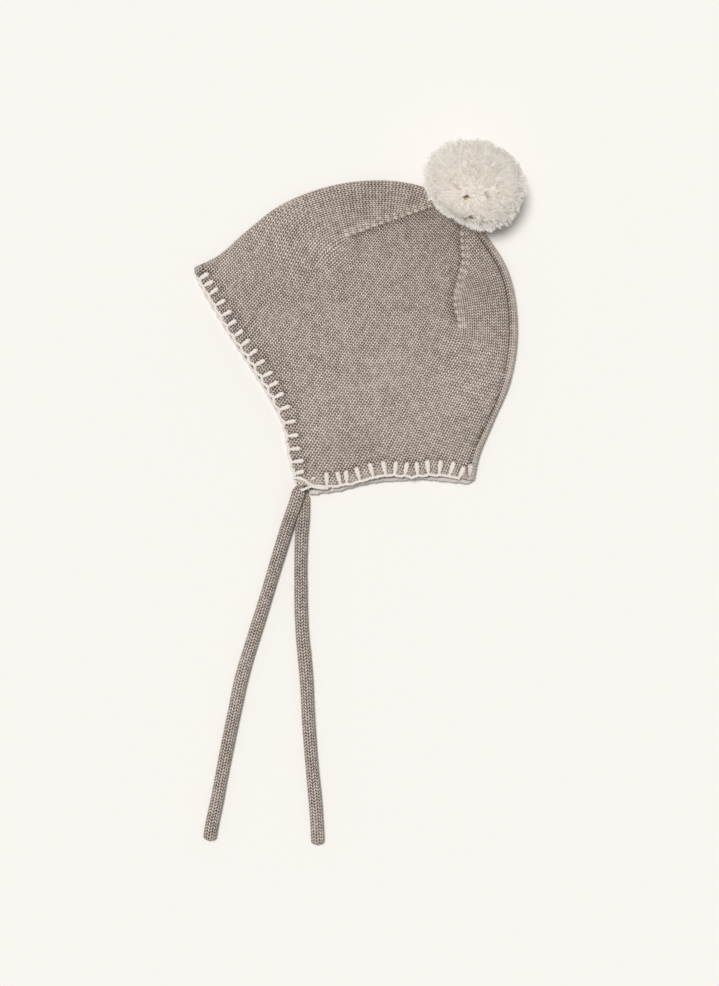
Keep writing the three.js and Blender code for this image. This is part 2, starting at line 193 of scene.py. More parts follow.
class Line:
    """A smooth line through given rows, measured along its length in plan."""

    def __init__(self, rows, spacing=1.0):
        dense = smooth_line(rows)
        run = run_along(dense[:, :2])
        self.length = run[-1]
        count = int(self.length / spacing) + 2
        self.arc = np.linspace(0, self.length, count)
        self.points = np.stack([np.interp(self.arc, run, column) for column in dense.T], 1)

    def at(self, arc):
        """Point, direction and left-hand normal at each length along."""
        arc = np.asarray(arc, float)
        point = np.stack([np.interp(arc, self.arc, column) for column in self.points.T], -1)
        ahead, behind = (
            np.stack([np.interp(arc + step, self.arc, c) for c in self.points.T[:2]], -1)
            for step in (DIRECTION_STEP, -DIRECTION_STEP)
        )
        along = unit(ahead - behind)
        return point, along, np.stack([-along[..., 1], along[..., 0]], -1)

    def near(self, places):
        """For each place in plan: signed distance, positive on the right, and length along."""
        distance = np.empty(len(places))
        arc = np.empty(len(places))
        dots = self.points[:, :2]
        for start in range(0, len(places), NEAR_BATCH):
            part = places[start:start + NEAR_BATCH, :2]
            nearest = ((dots ** 2).sum(1) - 2 * part @ dots.T).argmin(1)
            best = np.full(len(part), np.inf)
            for shift in (-1, 0):
                k = np.clip(nearest + shift, 0, len(dots) - 2)
                a, edge = dots[k], dots[k + 1] - dots[k]
                offset = part - a
                t = np.clip((offset * edge).sum(1) / (edge ** 2).sum(1), 0, 1)
                apart = offset - edge * t[:, None]
                gap = np.hypot(*apart.T)
                side = np.where(edge[:, 1] * offset[:, 0] - edge[:, 0] * offset[:, 1] < 0, -1, 1)
                better = gap < best
                best = np.where(better, gap, best)
                rows = slice(start, start + len(part))
                distance[rows] = np.where(better, gap * side, distance[rows])
                arc[rows] = np.where(better, lerp(self.arc[k], self.arc[k + 1], t), arc[rows])
        return distance, arc


fold_line = Line(FOLD_OUTLINE)
upper_face = Line(UPPER_FACE_EDGE)
upper_neck = Line(UPPER_NECK_EDGE)
lower_face = Line([row + (0,) for row in LOWER_FACE_EDGE])
lower_neck = Line([row + (0,) for row in LOWER_NECK_EDGE])


# ---- Meshes ----

def in_scene(name, data):
    made = bpy.data.objects.new(name, data)
    bpy.context.scene.collection.objects.link(made)
    return made


def make_piece(name, points, faces, materials, slots=None, corner_uv=None, tags=None):
    """A smooth-shaded object. points are in millimetres, faces a list of n x 3 or n x 4 arrays."""
    faces = [np.asarray(f) for f in faces if len(f)]
    corners = np.concatenate([f.ravel() for f in faces])
    sizes = np.concatenate([np.full(len(f), f.shape[1]) for f in faces])
    mesh = bpy.data.meshes.new(name)
    mesh.vertices.add(len(points))
    mesh.vertices.foreach_set("co", in_part(points).astype(np.float32).ravel())
    mesh.loops.add(len(corners))
    mesh.loops.foreach_set("vertex_index", corners.astype(np.int32))
    mesh.polygons.add(len(sizes))
    starts = np.concatenate([[0], np.cumsum(sizes)[:-1]])
    mesh.polygons.foreach_set("loop_start", starts.astype(np.int32))
    if slots is not None:
        mesh.polygons.foreach_set("material_index", np.asarray(slots, np.int32))
    mesh.polygons.foreach_set("use_smooth", np.ones(len(sizes), bool))
    if corner_uv is not None:
        layer = mesh.uv_layers.new(name="knit")
        layer.uv.foreach_set("vector", corner_uv.astype(np.float32).ravel())
    for tag, values in (tags or {}).items():
        mesh.attributes.new(tag, "FLOAT", "POINT").data.foreach_set(
            "value", np.asarray(values, np.float32)
        )
    mesh.update(calc_edges=True)
    mesh.validate()
    for material in materials:
        mesh.materials.append(material)
    return in_scene(name, mesh)


def vertex_normals(points, faces):
    a, b, c = (points[faces[:, k]] for k in range(3))
    face_normals = np.cross(b - a, c - a)
    total = np.zeros_like(points)
    for k in range(3):
        for axis in range(3):
            total[:, axis] += np.bincount(faces[:, k], face_normals[:, axis], len(points))
    return unit(total)


def inside_polygon(places, loop):
    inside = np.zeros(len(places), bool)
    x, y = places.T
    for (ax, ay), (bx, by) in zip(loop, np.roll(loop, -1, 0)):
        if ay == by:
            continue
        crosses = (y < ay) != (y < by)
        inside ^= crosses & (x < ax + (bx - ax) * (y - ay) / (by - ay))
    return inside


def triangulate(loop, interior):
    """Triangles over the area inside the loop, using every given point."""
    count = len(loop)
    places = np.vstack([loop, interior])
    rim = [(i, (i + 1) % count) for i in range(count)]
    result = delaunay_2d_cdt([tuple(p) for p in places], rim, [], 1, 1e-4, True)
    order = np.array([origin[0] for origin in result[3]])
    faces = order[np.array(result[2])]
    on_rim = np.flatnonzero((faces < count).all(1))
    outside = on_rim[~inside_polygon(places[faces[on_rim]].mean(1), loop)]
    return places, np.delete(faces, outside, 0)


# ---- The shell's macro shape ----

WRAP_TURN = math.atan(LOFT / LOFT_REACH)    # the fold's arc starts at the upper layer's own slope
WRAP_START = FOLD_RADIUS * (1 - math.sin(WRAP_TURN))
UPPER_RIM = WRAP_START - FOLD_RADIUS * (math.pi / 2 - WRAP_TURN)    # unrolled place of the equator
LOWER_RIM = FOLD_RADIUS * (1 - math.pi / 2)
SEAM_START = CROWN_SHARE + 0.03
SEAM_RISE = 0.06                # share of the outline over which the seam grows to its full depth
NAPE_NARROWING = {"by": 1.3, "arc": 316, "width": 16}
STEP_WIDTH = 3                  # the seam's step up takes this long


def seam_inset(arc):
    """How far the seam lies inside the outline: less where the hat narrows to the neck."""
    nape = bell((arc - NAPE_NARROWING["arc"]) / NAPE_NARROWING["width"])
    return SEAM_INSET - NAPE_NARROWING["by"] * nape


def seam_relief(distance, arc):
    groove = bell((distance - seam_inset(arc)) / SEAM_GROOVE_WIDTH)
    step = smoothstep(distance, SEAM_INSET, SEAM_INSET + STEP_WIDTH)
    return SEAM_STEP * step - SEAM_GROOVE_DEPTH * groove


def upper_height(places):
    """Height of the upper layer's outer face over the floor."""
    fold, fold_arc = fold_line.near(places)
    face, face_arc = upper_face.near(places)
    neck, neck_arc = upper_neck.near(places)
    face, neck = np.abs(face), np.abs(neck)
    loft = LOFT * (1 - np.exp(-np.maximum(fold - WRAP_START, 0) / LOFT_REACH))
    seam = smoothstep(fold_arc / fold_line.length, CROWN_SHARE, CROWN_SHARE + SEAM_RISE)
    start = FOLD_RADIUS * (1 + math.cos(WRAP_TURN))
    body = start + loft + ridges(places, SOFT_FOLDS) + seam * seam_relief(fold, fold_arc)
    face_gap = upper_face.at(face_arc)[0][:, 2]
    neck_gap = upper_neck.at(neck_arc)[0][:, 2]
    edge = 2 * WALL + lerp(neck_gap, face_gap, neck / np.maximum(face + neck, 1e-6))
    away = smoothstep(face, 0, EDGE_REACH) * smoothstep(neck, 0, EDGE_REACH)
    return lerp(edge, body, away)


def beside_fold(places):
    """Distance in from the fold's line, the line's point beside each place, the way inwards."""
    fold, arc = fold_line.near(places)
    foot, _, left = fold_line.at(arc)
    return fold, foot[:, :2], -left


def rolled(places, foot, inward, over, angle):
    """Unrolled places brought to where they lie, those over the fold around its arc."""
    reach = FOLD_RADIUS * (1 - np.sin(angle))
    return np.where(over[:, None], foot + inward * reach[:, None], places)


def upper_surface(places):
    """Each unrolled place's point on the upper layer's outer face, down to the equator."""
    fold, foot, inward = beside_fold(places)
    over = fold < WRAP_START
    height = upper_height(np.where(over[:, None], foot + inward * WRAP_START, places))
    angle = WRAP_TURN + np.maximum(WRAP_START - fold, 0) / FOLD_RADIUS
    arc_height = lerp(FOLD_RADIUS, height, np.cos(angle) / math.cos(WRAP_TURN))
    plan = rolled(places, foot, inward, over, angle)
    return np.column_stack([plan, np.where(over, arc_height, height)])


def lower_surface(places):
    """Each unrolled place's point on the lower layer's outer face, up to the equator."""
    fold, foot, inward = beside_fold(places)
    angle = np.maximum(FOLD_RADIUS - fold, 0) / FOLD_RADIUS
    plan = rolled(places, foot, inward, fold < FOLD_RADIUS, angle)
    return np.column_stack([plan, FOLD_RADIUS * (1 - np.cos(angle))])


# ---- Where each stitch lies ----

def middle_knit(places):
    x, y = places.T
    turn = np.arctan2(x - FAN_CENTRE[0], FAN_CENTRE[1] - y)
    bow = COURSE_BOW * (x - COURSE_MIDDLE) ** 2
    return np.column_stack([turn / FAN_TURN, (y - bow) / COURSE])


def middle_places(knit):
    """The inverse of middle_knit."""
    turn = np.tan(knit[:, 0] * FAN_TURN)
    x = FAN_CENTRE[0] + turn * FAN_CENTRE[1]
    for _ in range(12):
        y = knit[:, 1] * COURSE + COURSE_BOW * (x - COURSE_MIDDLE) ** 2
        x = FAN_CENTRE[0] + turn * (FAN_CENTRE[1] - y)
    return np.column_stack([x, y])


class SidePanel:
    """Wales that run along the fold: on the forehead side of the hat, or on the nape side."""

    def __init__(self, line, forehead, row):
        self.line = np.array(line, float)
        self.decreases = Line([(*place, 0) for place in line], 0.5)
        self.row = row
        start = self.line[:1]
        self.start_distance, self.start_arc = (v[0] for v in fold_line.near(start))
        self.start_knit = middle_knit(start)[0]
        self.side = 1 if forehead else -1

    def knit(self, places):
        distance, arc = fold_line.near(places)
        wale = self.side * (distance - self.start_distance) / WALE
        course = self.side * (arc - self.start_arc) / self.row
        return self.start_knit + np.column_stack([wale, course])

    def places(self, knit):
        wale, course = (knit - self.start_knit).T
        point, _, left = fold_line.at(self.start_arc + self.side * course * self.row)
        distance = self.start_distance + self.side * wale * WALE
        return point - left * distance[:, None]

    def across(self, places):
        """Distance past the line of decreases, positive in this panel."""
        x, y = places.T
        order = self.line[:, 1].argsort()
        border = np.interp(y, self.line[order, 1], self.line[order, 0])
        (sx, sy), (cx, cy) = self.line[0], FAN_CENTRE
        below = cx + (sx - cx) * (cy - y) / (cy - sy)
        return -self.side * (x - np.where(y > sy, border, below))

    def above(self, places):
        return places[:, 1] > self.line[0, 1]

    def share(self, places):
        """How far the stitches follow this panel: all or nothing above the line's start."""
        past = self.across(places)
        y = places[:, 1]
        width = 1 + 1.2 * np.maximum(self.line[0, 1] - y, 0)
        soft = 1 / (1 + np.exp(-4 * past / width))
        return np.where(self.above(places), past > 0, soft) * smoothstep(y, -30, 30)


front_panel = SidePanel(FRONT_LINE, True, FRONT_COURSE)
back_panel = SidePanel(BACK_LINE, False, BACK_COURSE)


def strip_knit(places):
    """The strip of the lower layer that shows past the seam."""
    distance, arc = fold_line.near(places)
    return np.column_stack([
        (SEAM_INSET - distance) / WALE, (fold_line.length - arc) / COURSE + 0.37
    ])


def upper_zones(places):
    """0 middle, 1 forehead panel, 2 nape panel, 3 the strip past the seam."""
    zone = np.zeros(len(places), int)
    for number, panel in ((1, front_panel), (2, back_panel)):
        zone[panel.above(places) & (panel.across(places) > 0)] = number
    distance, arc = fold_line.near(places)
    zone[(distance < seam_inset(arc)) & (arc > SEAM_START * fold_line.length)] = 3
    return zone


def upper_knit(places, zone):
    """Wale and row of each place, for the zone that it is counted in."""
    front, back = front_panel.knit(places), back_panel.knit(places)
    knit = middle_knit(places)
    for panel, own in ((front_panel, front), (back_panel, back)):
        knit = lerp(knit, own, panel.share(places)[:, None])
    pick = np.asarray(zone)[:, None]
    for number, own in ((1, front), (2, back), (3, strip_knit(places))):
        knit = np.where(pick == number, own, knit)
    return knit


ROLL_SHOWN = 9                  # the lower layer can be seen up to here, in from the fold


def lower_knit(places):
    """The lower layer's stitches run on around the fold, and mirror the upper ones inside it."""
    distance, arc = fold_line.near(places)
    forehead = arc < SEAM_START * fold_line.length
    around = np.where(
        forehead[:, None],
        front_panel.knit(places) * (-1, 1) + (2 * front_panel.start_knit[0], 0),
        strip_knit(places) * (-1, 1),
    )
    return np.where((distance < ROLL_SHOWN)[:, None], around, middle_knit(places))


def stitch_height(knit):
    """From 0 in the gaps between stitches to 1 on the middle of a leg."""
    wale, course = knit.T
    p = 1 - np.abs(2 * (wale % 1) - 1)
    leg = np.sin(math.pi * p)
    row = 0.5 + 0.5 * np.cos(2 * math.pi * (course - 0.5 - STITCH_LEAN * p))
    return leg * (0.55 + 0.45 * row)


# ---- Blanket stitches ----

# For each stitch along an edge of the upper layer: its place along that edge, how far it leans
# towards the edge's end, in degrees, and its length.
FACE_STITCHES = [
    (5.0, -22, 6.2), (9.6, 4, 6.6), (15.9, -3, 6.6), (23.4, 0, 6.6), (30.7, 3, 6.8),
    (37.6, 0, 6.4), (45.2, 0, 6.6), (52.3, 0, 6.4), (59.6, 0, 6.8), (66.6, 4, 7.0),
    (74.6, 6, 7.2), (81.6, 3, 7.0), (89.0, 0, 6.8), (96.8, 4, 7.0), (105.2, 8, 7.0),
    (113.3, 3, 6.6), (121.2, 6, 6.5), (129.1, 4, 7.2), (136.2, 3, 5.6),
]
NECK_STITCHES = [
    (17.0, 0, 7.4), (25.1, -7, 7.4), (29.0, 7, 7.4), (37.1, -1, 7.6), (45.4, -3, 7.8),
    (52.9, -7, 7.6), (58.4, 3, 7.2), (64.4, 5, 7.2), (72.2, 3, 7.4), (78.7, -4, 7.8),
    (85.2, 3, 7.8), (91.4, 8, 8.0), (97.4, 8, 6.8),
]
# The last one lies on the strip past the seam: where it starts, and where it ends.
STRIP_STITCH = ((101.9, -54.4), (98.9, -48.9))
FOREHEAD_NUB = (-102.3, -45.4)  # the fold's end is gathered into a small round lump
NUB_HEIGHT, NUB_WIDTH = 1.9, 2.4
FACE_STITCH_YARN = 2.7          # thickness of a stitch at its fat inner end
NECK_STITCH_YARN = 3.1
EDGE_BULGE = 1.0                # how far the fabric swells between two stitches
BULGE_START = (0.8, 3.2)        # it begins and is full at these distances from a stitch
BULGE_REACH = 2.4               # and is highest so far in from the edge
EDGE_DROP, EDGE_ROUND = 0.9, 1.4    # how deep the cut edge rounds off, and from where
DENT_DEPTH, DENT_WIDTH = 0.7, 1.25  # the dip under each stitch


# Where a blanket stitch leaves the edge, and the direction that it runs inwards.
EdgeStitch = namedtuple("EdgeStitch", "arc foot inward length yarn")


def stitch_on(line, yarn, arc, lean, length):
    point, along, left = line.at(arc)
    turn = math.radians(lean)
    inward = left * math.cos(turn) + along * math.sin(turn)
    return EdgeStitch(arc, point[:2], inward, length, yarn)


def strip_stitch():
    foot, end = (np.array(place) for place in STRIP_STITCH)
    length = float(np.linalg.norm(end - foot))
    return EdgeStitch(upper_neck.length, foot, (end - foot) / length, length, NECK_STITCH_YARN)


face_stitches = [stitch_on(upper_face, FACE_STITCH_YARN, *row) for row in FACE_STITCHES]
neck_stitches = [stitch_on(upper_neck, NECK_STITCH_YARN, *row) for row in NECK_STITCHES]
neck_stitches.append(strip_stitch())


def edge_relief(places):
    """The fabric rounds off at its cut edge, swells between the stitches and dips under them."""
    total = np.zeros(len(places))
    for line, stitches in ((upper_face, face_stitches), (upper_neck, neck_stitches)):
        distance, arc = line.near(places)
        distance = np.abs(distance)
        marks = np.array([s.arc for s in stitches])
        gap = np.abs(arc[:, None] - marks).min(1)
        swell = smoothstep(gap, *BULGE_START) * bell((distance - BULGE_REACH) / BULGE_REACH)
        total += EDGE_BULGE * swell
        total -= EDGE_DROP * (1 - smoothstep(distance, 0, EDGE_ROUND)) ** 2
    nub = bell(np.linalg.norm(places - FOREHEAD_NUB, axis=1) / NUB_WIDTH)
    return total - DENT_DEPTH * stitch_dent(places, DENT_WIDTH) + NUB_HEIGHT * nub


def stitch_dent(places, width):
    """1 on the middle of each blanket stitch, and 0 away from it."""
    total = np.zeros(len(places))
    for stitch in face_stitches + neck_stitches:
        offset = places - stitch.foot
        t = np.clip(offset @ stitch.inward / stitch.length, 0, 1)
        away = np.linalg.norm(offset - np.outer(t * stitch.length, stitch.inward), axis=1)
        total = np.maximum(total, bell(away / width))
    return total


# The fold's two ends: the place, the way that the fabric is drawn there, how far, how wide.
CORNERS = [
    ((-101.5, -47.0), (-0.55, -0.84), 2.0, 4.5),
    ((106.2, -57.2), (-0.45, 0.89), 1.1, 3.0),
]


def corner_pull(points):
    """The gathered fold swells at the forehead's corner, and the nape's corner is rounded."""
    moved = points.copy()
    for corner, way, amount, reach in CORNERS:
        away = np.linalg.norm(points[:, :2] - corner, axis=1)
        moved[:, :2] += amount * bell(away / reach)[:, None] * np.array(way)
    return moved


SEAM_LINE_WIDTH = 0.7
# How dark the painted shade along the seam's groove is, at places along the fold.
SEAM_LINE_PLACES = (200, 223, 245, 267, 289, 311, 333, 346, 358)
SEAM_LINE_DEPTHS = (0.40, 0.32, 0.2, 0.08, 0.3, 0.5, 0.65, 0.3, 0.0)


def beside_seam(fold, arc):
    """1 on the strip between the seam and the outline, and 0 elsewhere."""
    share = arc / fold_line.length
    seam = smoothstep(share, SEAM_START, SEAM_START + 0.05)
    return seam * smoothstep(seam_inset(arc) - 0.4 - fold, 0.4, 1.6)


# Painted shade and light: how much lighter or darker than the rest of the knit each part is.
SEAM_STRIP_LIGHT = 0.14
FACE_LIGHT, FACE_DARK = 0.14, 0.05      # right at the face edge, and further in
NECK_LIGHT = 0.12
CROWN_LIGHT, CROWN_ARC = 0.05, 125      # on the fold near the pompom
TOP_DARK = 0.09                         # towards the top of the hat
# painted shade in the crease round the forehead's nub, and a little painted light on the nub
NUB_RING_DARK, NUB_LIGHT = 0.26, 0.05
HOLE_DARK = 0.35                        # painted shade in the holes beside the blanket stitches


def upper_shade(places):
    """Painted shade and light on the upper layer: seam line, edges, stitch holes, corners."""
    fold, arc = fold_line.near(places)
    broken = 0.72 + 0.28 * np.sin(arc * 1.9) * np.sin(arc * 0.53 + 1)
    deep = np.interp(arc, SEAM_LINE_PLACES, SEAM_LINE_DEPTHS, left=0)
    line = bell((fold - seam_inset(arc) + 0.4) / SEAM_LINE_WIDTH) * broken * deep
    face = np.abs(upper_face.near(places)[0])
    neck = np.abs(upper_neck.near(places)[0])
    near_face = FACE_LIGHT * bell(face / 1.8) - FACE_DARK * bell(face / 12)
    near_neck = NECK_LIGHT * bell(neck / 3.5)
    top = TOP_DARK * smoothstep(places[:, 1], 0, 60)
    crown = CROWN_LIGHT * bell((arc - CROWN_ARC) / 25) * bell(fold / 5)
    from_nub = np.linalg.norm(places - FOREHEAD_NUB, axis=1)
    nub = NUB_RING_DARK * bell((from_nub - 3.3) / 0.7) - NUB_LIGHT * bell(from_nub / 2)
    holes = HOLE_DARK * (stitch_dent(places, 2.0) - stitch_dent(places, 1.0)).clip(0)
    light = SEAM_STRIP_LIGHT * beside_seam(fold, arc) + near_face + near_neck + crown
    return light - line - top - nub - holes


CALM_NECK, CALM_STRIP, CALM_CORNER = 0.3, 0.15, 0.3     # the last is the nape's corner
CALM_MOST = 0.6


def upper_calm(places):
    """Where the stitches are pressed together and stand out less: 0 to 1."""
    fold, arc = fold_line.near(places)
    neck = np.abs(upper_neck.near(places)[0])
    corner = np.linalg.norm(places - CORNERS[1][0], axis=1)
    calm = CALM_NECK * bell(neck / 4.5) + CALM_STRIP * beside_seam(fold, arc)
    return np.minimum(calm + CALM_CORNER * bell(corner / 7), CALM_MOST)


# ---- Materials ----

class Nodes:
    """A short way to write a material's maths."""

    def __init__(self, name):
        self.material = bpy.data.materials.new(name)
        self.material.use_nodes = True
        self.tree = self.material.node_tree
        self.shader = self.tree.nodes["Principled BSDF"]

    def node(self, kind, inputs, output=0, **settings):
        """Adds a node with its inputs and settings, and gives one of its outputs."""
        node = self.tree.nodes.new("ShaderNode" + kind)
        for key, value in settings.items():
            setattr(node, key, value)
        for key, value in inputs.items():
            self.feed(node.inputs[key], value)
        return node.outputs[output]

    def feed(self, socket, value):
        if isinstance(value, bpy.types.NodeSocket):
            self.tree.links.new(value, socket)
        else:
            socket.default_value = value

    def maths(self, operation, *values, clamp=False):
        return self.node("Math", dict(enumerate(values)), operation=operation, use_clamp=clamp)

    def vector_maths(self, operation, *values):
        return self.node("VectorMath", dict(enumerate(values)), operation=operation)

    def scaled(self, value, low, high):
        """A value from 0 to 1 spread over low to high."""
        return self.maths("MULTIPLY_ADD", value, high - low, low)

    def times(self, value, factor):
        return self.maths("MULTIPLY", value, factor)

    def total(self, *values, clamp=False):
        """The sum of the values, held between 0 and 1 if clamp is set."""
        total = values[0]
        for value in values[1:-1]:
            total = self.maths("ADD", total, value)
        return self.maths("ADD", total, values[-1], clamp=clamp)

    def uv(self):
        return self.node("UVMap", {}, uv_map="knit")

    def part(self, vector, axis):
        return self.node("SeparateXYZ", {0: vector}, axis)

    def vector(self, x, y, z=0.0):
        return self.node("CombineXYZ", {0: x, 1: y, 2: z})

    def noise(self, vector, scale, detail):
        return self.node("TexNoise", {"Vector": vector, "Scale": scale, "Detail": detail})

    def random(self, vector):
        return self.node("TexWhiteNoise", {"Vector": vector}, noise_dimensions="2D")

    def object_place(self):
        return self.node("TexCoord", {}, "Object")

    def tag(self, name):
        return self.node("Attribute", {}, "Fac", attribute_name=name)

    def colours(self, factor, stops):
        """The colour at a factor from 0 to 1, between stops of a place and a colour each."""
        out = self.node("ValToRGB", {0: factor})
        elements = out.node.color_ramp.elements
        while len(elements) < len(stops):
            elements.new(0.5)
        for element, (position, colour) in zip(elements, stops):
            element.position = position
            element.color = (*colour, 1)
        return out

    def mixed(self, share, first, second):
        return self.node("Mix", {0: share, 6: first, 7: second}, 2, data_type="RGBA")

    def bump(self, height, distance, strength):
        inputs = {"Height": height, "Distance": distance, "Strength": strength}
        return self.node("Bump", inputs)

    def finish(self, colour, normal, roughness, sheen):
        for name, value in (
            ("Base Color", colour), ("Normal", normal), ("Roughness", roughness),
            ("Specular IOR Level", 0.2), ("Sheen Weight", sheen), ("Sheen Roughness", 0.6),
        ):
            self.feed(self.shader.inputs[name], value)
        return self.material

    def raised_normal(self, normal, amount):
        """A normal turned upwards, as loose fibres catch the light whichever way they face."""
        up = self.vector_maths("ADD", normal, self.vector(0.0, 0.0, amount))
        return self.vector_maths("NORMALIZE", up)


# Colours of the knit, from the gaps to the tops of the legs. The gap colour is painted shade in the
# hollows between the legs, on top of the holes' own darkness.
WOOL_GAP_SHADE = (0.066, 0.050, 0.041)
WOOL_DARK = (0.262, 0.207, 0.173)
WOOL_MID = (0.560, 0.464, 0.406)
WOOL_LIGHT = (0.900, 0.800, 0.730)
WOOL_COOL = (0.97, 1.0, 0.94)   # the wool's colour is drawn towards this here and there
WOOL_MEAN = 0.57                # place of the wool's mean colour between its gaps and its lights


def knit_wool(name, lean, leg_share=0.68, row_share=0.42):
    """Melange wool in stocking stitch: leaning legs, gaps painted dark as painted shade, and yarn
    that changes in tone.
    """
    n = Nodes(name)
    wale, course = n.part(n.uv(), 0), n.part(n.uv(), 1)
    across = n.maths("FRACT", wale)
    p = n.maths("SUBTRACT", 1.0, n.maths("ABSOLUTE", n.maths("MULTIPLY_ADD", across, 2.0, -1.0)))
    leg = n.maths("POWER", n.maths("SINE", n.times(p, math.pi)), 0.8)
    row = n.maths("SUBTRACT", course, n.times(p, lean))
    wave = n.maths("COSINE", n.maths("MULTIPLY_ADD", row, 2 * math.pi, -math.pi))
    height = n.times(leg, n.maths("MULTIPLY_ADD", wave, row_share, leg_share))

    step = n.maths("FLOOR", row)
    own = n.random(n.vector(n.maths("FLOOR", n.times(wale, 2.0)), step))
    along_row = n.noise(n.vector(n.times(wale, 0.16), n.times(step, 3.7)), 1.0, 1.0)
    fibre = n.noise(n.vector(n.times(wale, 5.0), n.times(row, 2.0)), 2.0, 3.0)
    cloud = n.noise(n.object_place(), 22.0, 2.0)

    changes = ((own, 0.11), (along_row, 0.10), (fibre, 0.22), (cloud, 0.08))
    # Painted shade: the tone falls with the stitch's height, so it is darkest in the gaps between
    # the legs.
    tone = n.total(
        n.maths("MULTIPLY_ADD", height, 0.92, -0.03),
        *[n.scaled(value, -amount, amount) for value, amount in changes],
    )
    tone = n.maths("MULTIPLY_ADD", n.tag("calm"), n.maths("SUBTRACT", WOOL_MEAN, tone), tone)
    # The shade tag adds the painted shade and light of the upper layer's parts.
    tone = n.total(tone, n.tag("shade"), clamp=True)
    colour = n.colours(
        tone, [(0.0, WOOL_GAP_SHADE), (0.22, WOOL_DARK), (0.58, WOOL_MID), (1.0, WOOL_LIGHT)])
    hue = n.noise(n.object_place(), 45.0, 1.0)
    colour = n.mixed(n.scaled(hue, 0.0, 0.5), colour, n.vector_maths("MULTIPLY", colour, WOOL_COOL))
    relief = n.total(height, n.times(fibre, 0.3))
    return n.finish(colour, n.bump(relief, 0.00045, 0.8), roughness=0.92, sheen=0.3)


CREAM_DEEP = (0.58, 0.52, 0.475)
CREAM = (0.82, 0.755, 0.69)
CREAM_LIGHT = (0.91, 0.86, 0.80)


def cream_yarn():
    """Soft spun yarn: fibres that wind along it, with a little colour from strand to strand."""
    n = Nodes("cream_yarn_spun")
    around, along = n.part(n.uv(), 0), n.part(n.uv(), 1)
    wound = n.total(around, n.times(along, 0.5))
    fibre = n.noise(n.vector(n.times(wound, 9.0), n.times(along, 0.8)), 1.0, 3.0)
    cloud = n.noise(n.object_place(), 160.0, 2.0)
    changes = (n.scaled(fibre, 0.1, 0.75), n.scaled(cloud, -0.15, 0.25))
    # The shade tag adds each yarn's painted shade and light.
    tone = n.total(*changes, n.tag("shade"), clamp=True)
    colour = n.colours(tone, [(0.0, CREAM_DEEP), (0.45, CREAM), (1.0, CREAM_LIGHT)])
    return n.finish(colour, n.bump(fibre, 0.0003, 0.6), roughness=0.9, sheen=0.3)


# The deep and root colours are painted shade among the ends and in the partings, with the yarn's
# warmer colour there.
POMPOM_SHADED_DEEP = (0.40, 0.29, 0.19)
POMPOM_ROOT = (0.72, 0.63, 0.52)
POMPOM_MID = (0.86, 0.78, 0.685)
POMPOM_TIP = (0.97, 0.93, 0.87)


def pompom_yarn():
    """Cut yarn ends: painted shade makes them darker towards the root, and they differ a little
    from strand to strand.
    """
    n = Nodes("cream_yarn_cut")
    cloud = n.noise(n.object_place(), 60.0, 2.0)
    tip, own = n.scaled(n.tag("tip"), 0.22, 0.82), n.scaled(n.tag("strand"), -0.13, 0.13)
    tone = n.total(tip, own, n.scaled(cloud, -0.10, 0.10), clamp=True)
    colour = n.colours(
        tone, [(0.0, POMPOM_SHADED_DEEP), (0.2, POMPOM_ROOT), (0.5, POMPOM_MID), (1.0, POMPOM_TIP)])
    fine = n.noise(n.object_place(), 2500.0, 1.0)
    normal = n.raised_normal(n.bump(fine, 0.0001, 0.3), n.tag("lift"))
    return n.finish(colour, normal, roughness=0.95, sheen=0.25)


FLOOR_COLOUR = (0.887, 0.860, 0.822)


def floor_paper():
    n = Nodes("paper")
    grain = n.noise(n.object_place(), 900.0, 2.0)
    normal = n.bump(grain, 0.00002, 0.1)
    return n.finish((*FLOOR_COLOUR, 1), normal, roughness=0.95, sheen=0.0)


# ---- The hat ----

PER_WALE = 5                    # mesh points across a stitch
PER_COURSE = 3                  # and along it
# Wales and rows that each panel reaches at the most: from, and to.
MIDDLE_RANGE = ((-46, -76), (46, 46))
FRONT_RANGE = ((-36, -20), (4, 60))
BACK_RANGE = ((-2, -20), (38, 60))
RIM_SPACING = 0.6
FINE_MARGIN = 0.28              # between the border and the nearest mesh points inside it
FLAT_SPACING = 3.2              # between mesh points where the lower layer lies flat
ROLL_ALONG = 0.8                # and where it turns up to the fold: along it, and across it
ROLL_ACROSS = 0.55


def open_edge(face, neck, rim_ends):
    """The open side's loop, from the nape corner over the flap's tip to the forehead corner."""
    neck_arcs = np.linspace(neck.length, 0, int(neck.length / RIM_SPACING))
    face_arcs = np.linspace(face.length, 0, int(face.length / RIM_SPACING))
    neck_points = neck.at(neck_arcs)[0][:, :2]
    face_points = face.at(face_arcs)[0][1:, :2]
    nape_end, forehead_end = rim_ends
    share = np.linspace(0, 1, 10)[1:-1, None]
    return np.vstack([
        lerp(nape_end, neck_points[0], share), neck_points, face_points,
        lerp(face_points[-1], forehead_end, share),
    ])


def rim_loop(rim, count, face, neck):
    """The unrolled layer's whole border: the equator first, then the open side."""
    arcs = np.linspace(0, fold_line.length, count)
    point, _, left = fold_line.at(arcs)
    equator = point - left * rim
    return np.vstack([equator, open_edge(face, neck, (equator[-1], equator[0]))])


def grid(low, high, steps):
    """Places in rows over a box, with the given steps in x and in y."""
    axes = [np.arange(*row) for row in zip(low, high, steps)]
    return np.stack(np.meshgrid(*axes), -1).reshape(-1, 2)


def stitch_grid(low, high):
    return grid(low, high, (1 / PER_WALE, 1 / PER_COURSE))


def kept(places, loop, margin):
    """Those places that are inside the loop and not too near it."""
    places = places[inside_polygon(places, loop)]
    border = Line(np.vstack([loop, loop[:1]]), RIM_SPACING)
    return places[np.abs(border.near(places)[0]) > margin]


